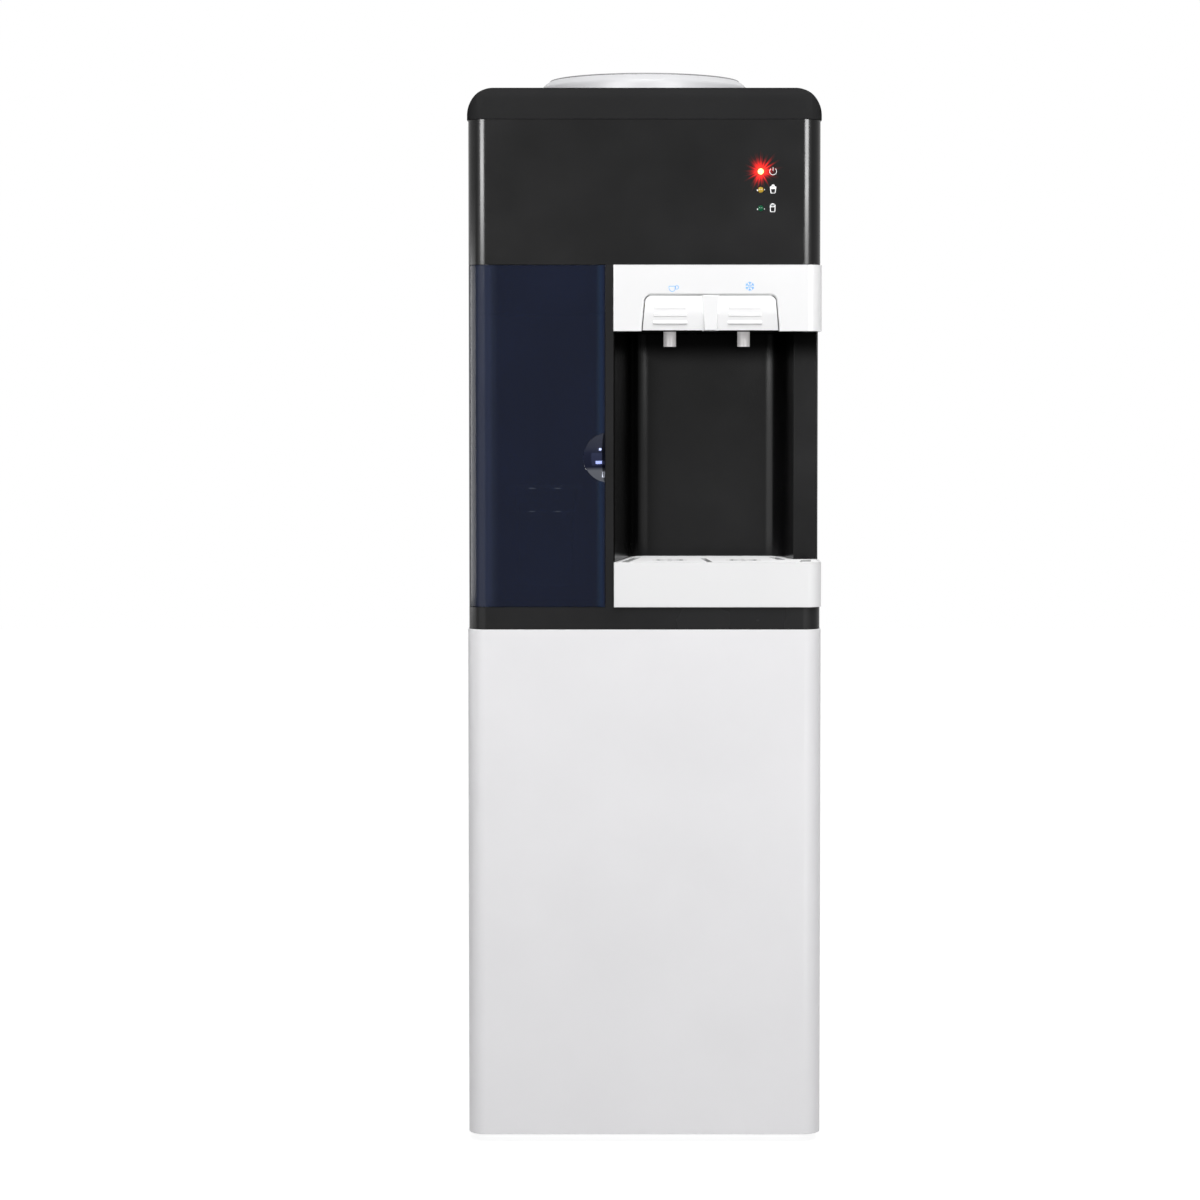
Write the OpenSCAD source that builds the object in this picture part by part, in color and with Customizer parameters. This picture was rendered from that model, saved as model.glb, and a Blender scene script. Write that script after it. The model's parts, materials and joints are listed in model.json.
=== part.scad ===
// Free-standing water dispenser with a compressor, a cup cabinet and two push taps.
// Millimetres, +Z up, +X to the right of someone who faces it, the front towards -Y.
// The origin is on the floor, under the middle of the whole object.

/* [Cabinet] */
// Width of the cabinet
body_w = 310; // [300:1:330]
// Depth from the cabinet's front to its rear panel
body_d = 315; // [310:1:335]
// Plan radius of the front corners
corner_r = 16; // [12:1:18]
// Height of the feet under the base
foot_h = 8; // [6:0.5:16]
// Radius of a foot's pad
foot_r = 15; // [10:1:20]
// Distance from the cabinet's sides to the middle of a foot
foot_inset = 55; // [40:1:60]
// Radius of a foot's threaded stem
foot_stem_r = 4; // [3:0.5:5]
// Width of the step round a foot's pad
foot_step = 4; // [2:0.5:6]
// Height of a foot's stem over the base pan
foot_stem_h = 12; // [8:1:14]
// Height of the light lower cabinet
lower_h = 445.5; // [430:0.5:470]
// Thickness of the steel sheet
sheet_t = 1.2; // [0.8:0.1:1.6]
// Thickness of the base pan
pan_t = 1.5; // [1.2:0.1:2.5]
// Height of the base pan's upturned edge
pan_lip_h = 14; // [8:1:24]
// Depth that the front panels wrap round the corners
wrap_d = 25; // [23:1:30]
// Width of the folded flanges of the side panels
flange_w = 12; // [8:1:16]
// Gap between neighbouring panels
panel_gap = 0.3; // [0.2:0.1:0.5]

/* [Upper body] */
// Distance that the black upper body stands inside the cabinet
upper_step = 1; // [0.5:0.5:2]
// Height of the black band under the opening
band_h = 19.5; // [14:0.5:26]
// Height of the opening that holds the cup door, the head and the tray
opening_h = 299; // [290:1:320]
// Height of the front panel with the lights
fascia_h = 126; // [120:1:140]
// Height of the top cover
cover_h = 28; // [26:1:36]
// Radius of the top cover's upper left and right edges
cover_side_r = 25; // [12:1:25]
// Radius of the top cover's upper front edge
cover_brow_r = 10; // [4:1:16]
// Wall of the plastic mouldings
skin_t = 2.5; // [2:0.1:3]
// Distance from the middle to the right edge of the stile, on the left of it
stile_x = 27; // [24:1:32]
// Width of the stile between the cup door and the alcove
stile_w = 7; // [6:0.5:10]
// Depth of the stile
stile_d = 33; // [28:1:36]

/* [Alcove] */
// Depth of the alcove behind the front
alcove_d = 109; // [100:1:112]
// Distance that the left wall runs inwards towards the back
left_taper = 16; // [8:1:20]
// Distance from the cabinet's right side to the front end of the alcove's right wall
pillar_w = 22.4; // [19:0.2:31]
// Distance that the right wall runs inwards towards the back
right_taper = 10; // [6:1:14]
// Radius of the alcove's rear corners
alcove_r = 18; // [10:1:24]
// Distance from the front back to the pillar's face
pillar_back = 52; // [44:1:60]

/* [Head and taps] */
// Distance that the head and the tray stand proud of the cabinet
head_proud = 3; // [1:0.5:5]
// Height of the dispensing head
head_h = 57.8; // [54:0.2:62]
// Plan radius of the head's and the tray's right corner
head_r = 13; // [8:1:15]
// Depth of the head's underside in front of the alcove's ceiling
head_lip_d = 27; // [24:1:30]
// Height of the recess that holds the paddles
recess_h = 31.3; // [29:0.1:33]
// Width of that recess along its bottom
recess_w = 120.2; // [116:0.2:124]
// Distance that the middle of the recess lies to the right of the nozzles' midpoint
recess_offset = 2.6; // [1:0.2:4]
// Sideways lean of the recess's ends
recess_lean = 3; // [0:0.5:5]
// Radius of the recess's upper corners
recess_r = 6; // [3:0.5:9]
// Gap round each paddle
paddle_gap = 0.8; // [0.5:0.1:1.2]
// Width of the block between the paddles
divider_w = 14; // [12:0.5:18]
// Wall of a paddle
paddle_t = 2.5; // [2:0.1:3]
// Radius of the pin that a paddle turns on
pin_r = 1.5; // [1:0.1:2]
// Running clearance of a pin in its bore
running_gap = 0.05; // [0.02:0.01:0.1]
// Travel of a paddle, in degrees
paddle_swing = 8; // [5:1:10]
// Distance between the two nozzles
tap_pitch = 65.2; // [60:0.2:70]
// Distance from the cabinet's right side to the midpoint of the nozzles
tap_inset = 100; // [97:0.2:103]
// Distance from the front back to the nozzles
tap_back = 40; // [36:1:46]
// Outer radius of a nozzle
nozzle_r = 5.5; // [4:0.1:6.5]
// Bore radius of a nozzle
nozzle_bore_r = 3.5; // [2.5:0.1:4]
// Length of a nozzle below the head
nozzle_drop = 13; // [8:0.5:20]

/* [Drip tray] */
// Height of the drip tray
tray_h = 39.3; // [34:0.1:46]
// Clearance round the drip tray
tray_gap = 0.5; // [0.3:0.1:1]
// Thickness of the drip grid
grid_t = 2.4; // [2:0.1:3]
// Width of the tray's rim round the grid
tray_rim = 2; // [1.5:0.1:3]
// Clearance between the rim and the grid
grid_gap = 0.4; // [0.3:0.1:0.6]
// Radius of a target ring in the grid
ring_r = 11; // [9:0.5:13]

/* [Cup cabinet] */
// Wall of the tinted cup door
door_t = 3; // [2.5:0.1:3.5]
// Gap above and below the door
door_gap = 0.5; // [0.3:0.1:1]
// Radius of the door's hinge pins
door_pin_r = 2; // [1.5:0.1:2.5]
// Height of the finger dimple's middle above the door's lower edge
dimple_z = 130.5; // [110:1:180]
// Radius of the finger dimple at the door's face
dimple_r = 22; // [18:1:24]
// Depth of the finger dimple
dimple_d = 9; // [6:0.5:10]
// Length of the door's side return behind its hinge
door_return = 4; // [3:0.5:5]
// Depth of the cup cabinet behind the front
niche_d = 104; // [98:1:108]
// Distance from the top of the opening down to the cup cabinet's ceiling
niche_drop = 42; // [41:1:60]
// Height of the cup holder's ring over the floor
holder_z = 80; // [60:1:110]
// Distance that the cup holder lies to the right of the cup cabinet's middle
holder_offset = 4; // [0:0.5:6]
// Distance from the front back to the cup holder's axis
holder_back = 66; // [60:1:68]
// Wall of the cup holder's ring
holder_t = 2; // [1.5:0.1:3]
// Width of the cup holder's upper flange
holder_flange = 4.5; // [2:0.1:6]
// Reach of the cup holder's side lugs
holder_lug = 5.5; // [3:0.1:7]
// Half of the width of the cup holder's wall plate
holder_plate = 14; // [10:0.5:18]
// Height of the cup holder's ring
holder_h = 24; // [16:1:30]
// Outer radius of the cup canister
canister_r = 24.5; // [20:0.5:26]
// Wall of the canister
canister_t = 1.5; // [1.2:0.1:2]
// Length of the canister below the ring's top
canister_l = 88; // [60:1:90]

/* [Bottle seat] */
// Outer radius of the bottle seat's collar
seat_r = 95; // [92:1:98]
// Height of the collar above the top cover
seat_rise = 22; // [18:1:26]
// Radius of the seat's skirt inside the top cover
skirt_r = 88; // [86:1:89]
// Radius of the throat that takes a bottle's neck
throat_r = 34; // [31:1:38]
// Depth of the throat's floor under the top cover's surface
throat_d = 36; // [33:1:37]
// Outer radius of the water probe
probe_r = 9; // [7:0.5:10]
// Bore radius of the water probe
probe_bore_r = 5; // [3.5:0.5:5.5]
// Radius of the probe's side holes
probe_hole_r = 1.5; // [1:0.1:2]
// Height of the probe's straight part above the throat's floor
probe_h = 38; // [30:1:42]

/* [Lights] */
// Radius of an indicator light
led_r = 2.5; // [1.5:0.1:3]
// Distance from the cabinet's right side to the column of lights
led_inset = 53.8; // [45:0.2:65]
// Height of the lowest light over the opening
led_z = 48.8; // [40:0.2:56]
// Distance between lights
led_pitch = 16; // [12:0.5:18]

/* [Water system] */
// Radius of the cold tank
cold_r = 68; // [60:1:70]
// Height of the cold tank
cold_h = 134; // [120:1:134]
// Wall of the tanks
tank_t = 1; // [0.8:0.1:1.5]
// Radius of the evaporator tube
evap_r = 3.5; // [3:0.1:4]
// Turns of the evaporator round the cold tank
evap_turns = 9; // [5:1:12]
// Distance from the middle to the foam block's sides
foam_half = 98; // [94:1:102]
// Radius of the hot tank
hot_r = 48; // [40:1:52]
// Height of the hot tank
hot_h = 130; // [110:1:140]
// Height of the hot tank's stand
stand_h = 20; // [14:1:26]
// Thickness of the hot tank's jacket
jacket_t = 10; // [6:1:12]
// Radius of the water hoses
hose_r = 4; // [3:0.5:4.5]
// Distance from the head's underside down to the shelf that carries the hot tank
hot_drop = 178.2; // [170:0.2:200]
// Distance from the rear panel to the hot tank's axis
hot_back = 90; // [86:1:96]
// Distance from the middle to the hot tank's axis
hot_x = 45; // [35:1:55]

/* [Refrigeration] */
// Room behind the rear panel for the condenser
condenser_room = 18; // [16:1:22]
// Runs of the condenser tube
condenser_runs = 14; // [10:2:14]
// Distance between runs of the condenser tube
condenser_pitch = 30; // [26:1:31]
// Half of the straight length of a run
condenser_half = 112; // [100:1:114]
// Radius of the condenser tube
condenser_r = 2.5; // [2:0.1:3]
// Radius of a condenser wire
wire_r = 0.8; // [0.6:0.1:0.9]
// Distance between condenser wires
wire_pitch = 10; // [8:0.5:10.5]
// Length of a wire past the outermost runs
wire_over = 8; // [5:0.5:10]
// Width of a condenser bracket
bracket_w = 18; // [12:1:24]
// Height of a condenser bracket
bracket_h = 14; // [10:1:18]
// Height of the lowest run over the floor
condenser_z = 298; // [290:1:300]
// Distance from the rear panel to the compressor's axis
compressor_back = 95; // [90:1:105]
// Radius of the compressor's shell
compressor_r = 60; // [50:1:68]
// Height of the compressor's shell
compressor_h = 132; // [110:1:150]
// Height of a compressor grommet
grommet_h = 10; // [6:1:14]
// Half of the distance between the compressor's grommets
grommet_half = 56; // [50:1:64]
// Radius of the copper lines
line_r = 2.5; // [2:0.1:3]
// Radius of the filter drier
drier_r = 9; // [7:0.5:10]

/* [Rear fittings] */
// Height of a vent slot
vent_h = 5; // [3:0.5:6]
// Width of a vent slot in the lower rear cover
lower_vent_w = 72; // [50:1:76]
// Distance between the vent slots of the lower rear cover
lower_vent_pitch = 16; // [12:0.5:17]
// Height of the lowest vent slot over the floor
lower_vent_z = 50; // [36:1:60]
// Width of a vent slot in the rear panel
upper_vent_w = 52; // [40:1:56]
// Distance between the vent slots of the rear panel
upper_vent_pitch = 13; // [10:0.5:14]
// Height of the rear panel's lowest vent slot over the floor
upper_vent_z = 775; // [770:1:785]
// Radius of a panel screw
screw_r = 1.5; // [1.2:0.1:2]
// Radius of a panel screw's head
screw_head_r = 3.6; // [3:0.1:4.5]
// Height of a panel screw's head
screw_head_h = 1.8; // [1.2:0.1:2.4]
// Length of a panel screw
screw_l = 8; // [6:0.5:12]
// Width of the switch plate
bezel_w = 56; // [52:1:60]
// Height of the switch plate
bezel_h = 32; // [30:1:40]
// Width of a rocker
rocker_w = 13.2; // [11:0.1:14]
// Height of a rocker
rocker_h = 17.2; // [15:0.1:19]
// Width of the power inlet's flange
inlet_w = 34; // [32:0.5:40]
// Height of the power inlet's flange
inlet_h = 26; // [24:0.5:32]
// Depth of the power inlet behind its flange
inlet_d = 20; // [18:0.5:24]
// Distance from the drain spouts down to the top edge of the lower rear cover
split_drop = 24; // [20:1:30]
// Distance from the cabinet's right side to the middle of the switches and the inlet
socket_inset = 55; // [50:1:65]
// Height of the switches over the floor
switch_z = 800; // [790:1:830]
// Height of the power inlet over the floor
inlet_z = 752; // [750:1:758]
// Half of the distance between the drain spouts
drain_half = 60; // [54:1:70]
// Distance from the condenser's lowest run down to the drain spouts
drain_drop = 34; // [30:1:38]
// Width of a drain spout's flange
drain_flange = 5; // [3:0.5:7]
// Outer radius of a drain spout
drain_r = 6; // [5:0.5:7]
// Bore radius of a drain spout
drain_bore_r = 3; // [2:0.5:4]
// Thickness of the flanges on the rear panel
flange_t = 2; // [1.5:0.1:2.5]
// Length of a drain spout inside the rear panel
spout_back = 14; // [11:0.5:16]
// Length of a drain spout behind the rear panel
drain_l = 10; // [8:0.5:12]
// Wall of a drain cap
cap_t = 3; // [2:0.1:4]
// Swing of a rocker switch, in degrees
rocker_swing = 16; // [10:1:18]

/* [Hidden] */
$fn = 64;

// Main planes
front_y = -(head_proud + body_d + condenser_room) / 2 + head_proud;
rear_y = front_y + body_d;
head_y = front_y - head_proud;
upper_y = front_y + upper_step;
wrap_y = front_y + wrap_d;
upper_w = body_w - 2 * upper_step;
upper_r = corner_r;
z_split = foot_h + lower_h;
z_sill = z_split + band_h;
z_lintel = z_sill + opening_h;
z_cover = z_lintel + fascia_h;
z_top = z_cover + cover_h;

// Alcove and head
alcove_x0 = -stile_x + 0.2;
right_wall_x = body_w / 2 - pillar_w;
tap_x = body_w / 2 - tap_inset;
recess_x = tap_x + recess_offset;
led_x = body_w / 2 - led_inset;
socket_x = body_w / 2 - socket_inset;
alcove_back_y = upper_y + alcove_d;
pillar_y = upper_y + pillar_back;
lip_y = head_y + head_lip_d;
z_head = z_lintel - head_h;
z_recess = z_head + recess_h;
tap_y = upper_y + tap_back;
tap_side = [-1, 1];
pivot_y = upper_y + 7;
pivot_z = z_recess - 5;
lever_l = tap_y - pivot_y + 4;
tap_lift = lever_l * sin(paddle_swing);
spring_z = pivot_z + 3.7;
spring_l = tap_lift + 5.85;
cage_z = spring_z + spring_l + panel_gap;
liner_front_y = upper_y + 6;

// Drip tray
tray_z0 = z_sill + panel_gap;
tray_z1 = tray_z0 + tray_h;

// Door and cup cabinet
door_axis = [-upper_w / 2 + upper_r, upper_y + upper_r];
door_z0 = z_sill + door_gap;
door_z1 = z_lintel - door_gap;
door_x1 = -stile_x - stile_w - panel_gap;
dimple_sphere = (dimple_r * dimple_r + dimple_d * dimple_d) / (2 * dimple_d);
niche_front_y = upper_y + 2 * upper_r + 3;
niche_back_y = upper_y + niche_d;
niche_x0 = -upper_w / 2 + sheet_t + 3.3 + skin_t;
niche_x1 = -stile_x - stile_w - 0.5 - skin_t;
niche_z1 = z_lintel - niche_drop;
holder_at = [(niche_x0 + niche_x1) / 2 + holder_offset, upper_y + holder_back];
holder_z0 = z_sill + holder_z;
holder_z1 = holder_z0 + holder_h;

// Water system
shelf_z = niche_z1 + skin_t + 2.5;
foam_z0 = shelf_z + sheet_t;
cold_z0 = foam_z0 + 12;
cold_z1 = cold_z0 + cold_h;
sleeve_r = cold_r + 2 * evap_r + 0.6;
lid_z = cold_z1 + sheet_t;
hot_at = [hot_x, rear_y - hot_back];
mid_shelf_z = z_head - hot_drop;
hot_z0 = mid_shelf_z + sheet_t + stand_h;
hose_z = z_head + skin_t + 9;
feed_at = [-20, 30];
cold_out_at = [50, -20];
drain_out_at = [-42, 40];
hose_hole_r = hose_r + 1;
rear_run_y = rear_y - 24;

// Compressor bay
bay_z = foot_h + sheet_t + pan_t;
compressor_at = [0, rear_y - compressor_back];
plate_z = bay_z + grommet_h;
suction_x = 20;
capillary_x = -20;
condenser_y = rear_y + condenser_room - 5;
drop_z = condenser_z - 14;
drain_z = condenser_z - drain_drop;
cover_split_z = drain_z - split_drop;
end_x = -condenser_half - 4;
condenser_z1 = condenser_z + (condenser_runs - 1) * condenser_pitch;
bracket_x = 90;
screw_x = body_w / 2 - flange_w / 2 - 2;
screw_hole_r = screw_r + 0.2;
vent_rows = floor((cover_split_z - 14 - lower_vent_z) / lower_vent_pitch);
lower_screw_z = [cover_split_z - 180, cover_split_z - 100, cover_split_z - 20];
upper_screw_z = [cover_split_z + 20, z_split - 33.5, z_head - 154.2, z_head - 14.2, z_cover - 38];

// Corner b of an outline, rounded with its own radius into a short arc of points.
function unit(v) = v / norm(v);
function arc_corner(a, b, c, steps) =
    let (u = unit([a[0] - b[0], a[1] - b[1]]), v = unit([c[0] - b[0], c[1] - b[1]]))
    let (half = acos(u * v) / 2, reach = b[2] / tan(half))
    let (centre = [b[0], b[1]] + unit(u + v) * b[2] / sin(half))
    let (from = [b[0], b[1]] + u * reach - centre, turn = cross(u, v) > 0 ? -1 : 1)
    let (start = atan2(from[1], from[0]), sweep = turn * (180 - 2 * half))
    [for (i = [0 : steps]) centre + b[2] * [cos(start + sweep * i / steps), sin(start + sweep * i / steps)]];

// An outline of [x, y, radius] corners as plain points.
function rounded(outline, steps = 10) =
    let (n = len(outline))
    [for (i = [0 : n - 1])
        let (b = outline[i])
        each (b[2] <= 0 ? [[b[0], b[1]]]
            : arc_corner(outline[(i + n - 1) % n], b, outline[(i + 1) % n], steps))];

// The same outline moved outwards by t, for an outline that runs anticlockwise.
function outward(a, b) = let (d = unit([b[0] - a[0], b[1] - a[1]])) [d[1], -d[0]];
function grown(outline, t) =
    let (n = len(outline))
    [for (i = [0 : n - 1])
        let (a = outline[(i + n - 1) % n], b = outline[i], c = outline[(i + 1) % n])
        let (m = outward(a, b), k = outward(b, c))
        let (turn = cross([b[0] - a[0], b[1] - a[1]], [c[0] - b[0], c[1] - b[1]]) > 0 ? 1 : -1)
        [b[0] + t * (m[0] + k[0]) / (1 + m * k), b[1] + t * (m[1] + k[1]) / (1 + m * k),
            b[2] > 0 ? max(b[2] + turn * t, 0.2) : 0]];

// The alcove's outline in plan, open to the front and to the right as far as it is asked for.
function alcove_outline(y0, x1, front_r = 0) = [
    [alcove_x0 - left_taper * (upper_y - y0) / alcove_d, y0, min(front_r, 1.5)],
    [x1, y0, front_r],
    [x1, pillar_y, 0],
    [right_wall_x, pillar_y, 0],
    [right_wall_x - right_taper, alcove_back_y, alcove_r],
    [alcove_x0 + left_taper, alcove_back_y, alcove_r]];
function niche_outline() = [
    [niche_x0, wrap_y, 0],
    [niche_x1, wrap_y, 0],
    [niche_x1, niche_back_y, 10],
    [niche_x0, niche_back_y, 10]];
// The recess for the paddles in the front view, x and z.
function recess_outline() = [
    [recess_x - recess_w / 2, z_head, 0], [recess_x + recess_w / 2, z_head, 0],
    [recess_x + recess_w / 2 - recess_lean, z_recess, recess_r],
    [recess_x - recess_w / 2 + recess_lean, z_recess, recess_r]];

// The drip tray's outline, the clearance inside the alcove's.
function tray_outline() =
    grown(alcove_outline(head_y - tray_gap, body_w / 2 + tray_gap, head_r + tray_gap), -tray_gap);

function tap_at(side) = tap_x + side * tap_pitch / 2;

// A plan with two rounded front corners.
module front_plan(w, y0, y1, r) {
    translate([-w / 2, y0 + r]) square([w, y1 - y0 - r]);
    translate([-w / 2 + r, y0]) square([w - 2 * r, r + 1]);
    for (side = [-1, 1]) intersection() {
        translate([side * (w / 2 - r), y0 + r]) circle(r = r);
        translate([-w / 2, y0]) square([w, y1 - y0]);
    }
}

module plan_slab(w, y0, y1, r, z0, z1) {
    translate([0, 0, z0]) linear_extrude(z1 - z0) front_plan(w, y0, y1, r);
}

// A wall that wraps round both front corners.
module wrap_wall(w, y0, y1, r, t, z0, z1) {
    difference() {
        plan_slab(w, y0, y1, r, z0, z1);
        plan_slab(w - 2 * t, y0 + t, y1 + 1, r - t, z0 - 1, z1 + 1);
    }
}

module box(x0, x1, y0, y1, z0, z1) {
    translate([x0, y0, z0]) cube([x1 - x0, y1 - y0, z1 - z0]);
}

// An x and z outline, extruded along the depth.
module front_view(y0, y1) {
    translate([0, y1, 0]) rotate([90, 0, 0]) linear_extrude(y1 - y0) children();
}

// A y and z outline, extruded along the width.
module side_view(x0, x1) {
    translate([x0, 0, 0]) rotate([90, 0, 90]) linear_extrude(x1 - x0) children();
}

// A box of width w and height h, centred in the front view.
module plate_box(w, h, y0, y1) {
    box(-w / 2, w / 2, y0, y1, -h / 2, h / 2);
}

module rod_x(x0, x1, y, z, r) {
    translate([x0, y, z]) rotate([0, 90, 0]) cylinder(r = r, h = x1 - x0);
}

module rod_y(x, y0, y1, z, r) {
    translate([x, y0, z]) rotate([-90, 0, 0]) cylinder(r = r, h = y1 - y0);
}

// A tube along straight stretches, with a ball elbow at each turn.
module pipe(points, r) {
    elbow_r = 1.2 * r;
    for (i = [0 : len(points) - 2]) {
        run = points[i + 1] - points[i];
        translate(points[i]) rotate([0, acos(run[2] / norm(run)), atan2(run[1], run[0])])
            cylinder(r = r, h = norm(run));
    }
    for (i = [1 : 1 : len(points) - 2]) translate(points[i]) sphere(r = elbow_r);
}

module at_feet() {
    x = body_w / 2 - foot_inset;
    for (i = [-1, 1], y = [front_y + foot_inset, rear_y - foot_inset]) translate([i * x, y, 0]) children();
}

// Sheet side panel: a web with folded flanges along the top, the bottom and the rear.
module side_panel(side, half_w, y0, z0, z1) {
    mirror([side < 0 ? 1 : 0, 0, 0]) difference() {
        union() {
            box(half_w - sheet_t, half_w, y0, rear_y - sheet_t, z0, z1);
            box(half_w - flange_w, half_w, rear_y - 2 * sheet_t, rear_y - sheet_t, z0, z1);
            for (z = [z0, z1 - sheet_t])
                box(half_w - flange_w, half_w, y0, rear_y - sheet_t, z, z + sheet_t);
        }
        for (z = concat(lower_screw_z, upper_screw_z))
            rod_y(screw_x, rear_y - 3 * sheet_t, rear_y, z, screw_hole_r);
    }
}

module base_pan() {
    z0 = foot_h + sheet_t;
    w = body_w - 2 * (sheet_t + panel_gap);
    y0 = front_y + sheet_t + panel_gap;
    y1 = rear_y - 2 * sheet_t;
    r = corner_r - sheet_t - panel_gap;
    color("silver") difference() {
        plan_slab(w, y0, y1, r, z0, z0 + pan_lip_h);
        plan_slab(w - 2 * pan_t, y0 + pan_t, y1 - pan_t, r - pan_t, z0 + pan_t, z0 + pan_lip_h + 1);
        at_feet() translate([0, 0, z0 - 1]) cylinder(r = foot_stem_r + 0.2, h = pan_t + 2);
    }
}

module feet() {
    color("dimgray") at_feet() {
        cylinder(r = foot_r, h = 0.75 * foot_h);
        cylinder(r = foot_r - foot_step, h = foot_h + sheet_t);
        cylinder(r = foot_stem_r, h = bay_z + foot_stem_h);
    }
}

module lower_front_panel() {
    color("gainsboro") {
        wrap_wall(body_w, front_y, wrap_y, corner_r, sheet_t, foot_h, z_split);
        for (z = [foot_h, z_split - sheet_t])
            wrap_wall(body_w, front_y, wrap_y, corner_r, flange_w, z, z + sheet_t);
    }
}

module lower_side_left() {
    color("gainsboro") side_panel(-1, body_w / 2, wrap_y + panel_gap, foot_h, z_split);
}

module lower_side_right() {
    color("gainsboro") side_panel(1, body_w / 2, wrap_y + panel_gap, foot_h, z_split);
}

module upper_side_left() {
    color("black") side_panel(-1, upper_w / 2, wrap_y + panel_gap, z_split, z_cover);
}

module upper_side_right() {
    color("black") difference() {
        side_panel(1, upper_w / 2, wrap_y + panel_gap, z_split, z_cover);
        box(0, body_w, front_y, pillar_y + panel_gap, z_sill, z_lintel);
    }
}

// Cut for one vent slot in a rear sheet.
module vent(x, w, z) {
    box(x - w / 2, x + w / 2, rear_y - 5, rear_y + 5, z, z + vent_h);
}

module rear_panel() {
    color("dimgray") difference() {
        box(-upper_w / 2, upper_w / 2, rear_y - sheet_t, rear_y, cover_split_z + panel_gap, z_cover);
        for (side = [-1, 1]) {
            rod_y(side * drain_half, rear_y - 5, rear_y + 5, drain_z, drain_r + 0.1);
            for (z = upper_screw_z) rod_y(side * screw_x, rear_y - 5, rear_y + 5, z, screw_hole_r);
        }
        for (i = [0 : 6], side = [-1, 1])
            vent(side * 38, upper_vent_w, upper_vent_z + upper_vent_pitch * i);
        rod_y(capillary_x, rear_y - 5, rear_y + 5, drop_z, line_r + 1);
        rod_y(end_x, rear_y - 5, rear_y + 5, condenser_z1, line_r + 1);
        translate([socket_x, 0, switch_z]) plate_box(bezel_w - 7, bezel_h - 6, rear_y - 5, rear_y + 5);
        translate([socket_x, 0, inlet_z]) plate_box(inlet_w - 6, inlet_h - 5.6, rear_y - 5, rear_y + 5);
    }
}

module compressor_cover() {
    color("dimgray") difference() {
        box(-upper_w / 2, upper_w / 2, rear_y - sheet_t, rear_y, foot_h + 2, cover_split_z);
        for (side = [-1, 1], z = lower_screw_z)
            rod_y(side * screw_x, rear_y - 5, rear_y + 5, z, screw_hole_r);
        for (i = [0 : vent_rows - 1], x = [-90, 0, 90])
            vent(x, lower_vent_w, lower_vent_z + lower_vent_pitch * i);
    }
}

module panel_screws() {
    color("silver") for (side = [-1, 1], z = concat(lower_screw_z, upper_screw_z)) {
        rod_y(side * screw_x, rear_y - screw_l, rear_y + 0.5, z, screw_r);
        translate([side * screw_x, rear_y, z]) difference() {
            rod_y(0, 0, screw_head_h, 0, screw_head_r);
            plate_box(screw_r / 2, 1.2 * screw_head_r, screw_head_h / 2, 2 * screw_head_h);
            plate_box(1.2 * screw_head_r, screw_r / 2, screw_head_h / 2, 2 * screw_head_h);
        }
    }
}

// Black moulding round the opening: the band, its sill, the stile and the lintel behind the fascia.
module front_frame() {
    inner_w = upper_w - 2 * (skin_t + panel_gap);
    color("black") difference() {
        union() {
            wrap_wall(upper_w, upper_y, wrap_y, upper_r, skin_t, z_split, z_sill);
            plan_slab(upper_w, upper_y, wrap_y, upper_r, z_sill - skin_t, z_sill);
            plan_slab(inner_w, upper_y + skin_t + panel_gap, wrap_y, upper_r - skin_t - panel_gap,
                z_lintel, z_lintel + skin_t);
            difference() {
                box(-stile_x - stile_w, -stile_x, upper_y, upper_y + stile_d, z_sill - 1, z_lintel + 1);
                box(-stile_x - stile_w - 1, -stile_x + 1, upper_y - 1, upper_y + skin_t + panel_gap,
                    z_lintel, z_lintel + 2);
                translate([0, 0, z_sill]) intersection() {
                    linear_extrude(opening_h)
                        polygon(rounded(grown(alcove_outline(upper_y, body_w), skin_t + panel_gap)));
                    box(-stile_x - stile_w, body_w, liner_front_y - panel_gap, body_d, -1, z_lintel);
                }
            }
        }
        translate([door_axis[0], door_axis[1], z_sill - 5]) cylinder(r = door_pin_r, h = opening_h + 10);
    }
}

module upper_front_panel() {
    color("black") difference() {
        wrap_wall(upper_w, upper_y, wrap_y, upper_r, skin_t, z_lintel, z_cover);
        for (i = [0 : 2])
            rod_y(led_x, upper_y - 1, upper_y + skin_t + 1, z_lintel + led_z + i * led_pitch, led_r + 0.1);
    }
}

// The top cover's outer form, or its hollow when it is inset.
module cover_form(inset, z0) {
    w = body_w - 2 * inset;
    intersection() {
        plan_slab(w, front_y + inset, rear_y - inset, corner_r - inset, z0, z_top - inset);
        front_view(front_y, rear_y) mirror([0, 1]) front_plan(w, -z_top + inset, -z0, cover_side_r - inset);
        side_view(-body_w, body_w) {
            translate([front_y + inset, z0]) square([body_d - 2 * inset, z_top - cover_brow_r - z0]);
            translate([front_y + cover_brow_r, z0])
                square([body_d - inset - cover_brow_r, z_top - inset - z0]);
            translate([front_y + cover_brow_r, z_top - cover_brow_r]) circle(r = cover_brow_r - inset);
        }
    }
}

module top_cover() {
    color("black") difference() {
        cover_form(0, z_cover);
        cover_form(skin_t, z_cover - 1);
        translate([0, 0, z_cover]) cylinder(r = skirt_r + 0.5, h = cover_h + 1);
    }
}

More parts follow.
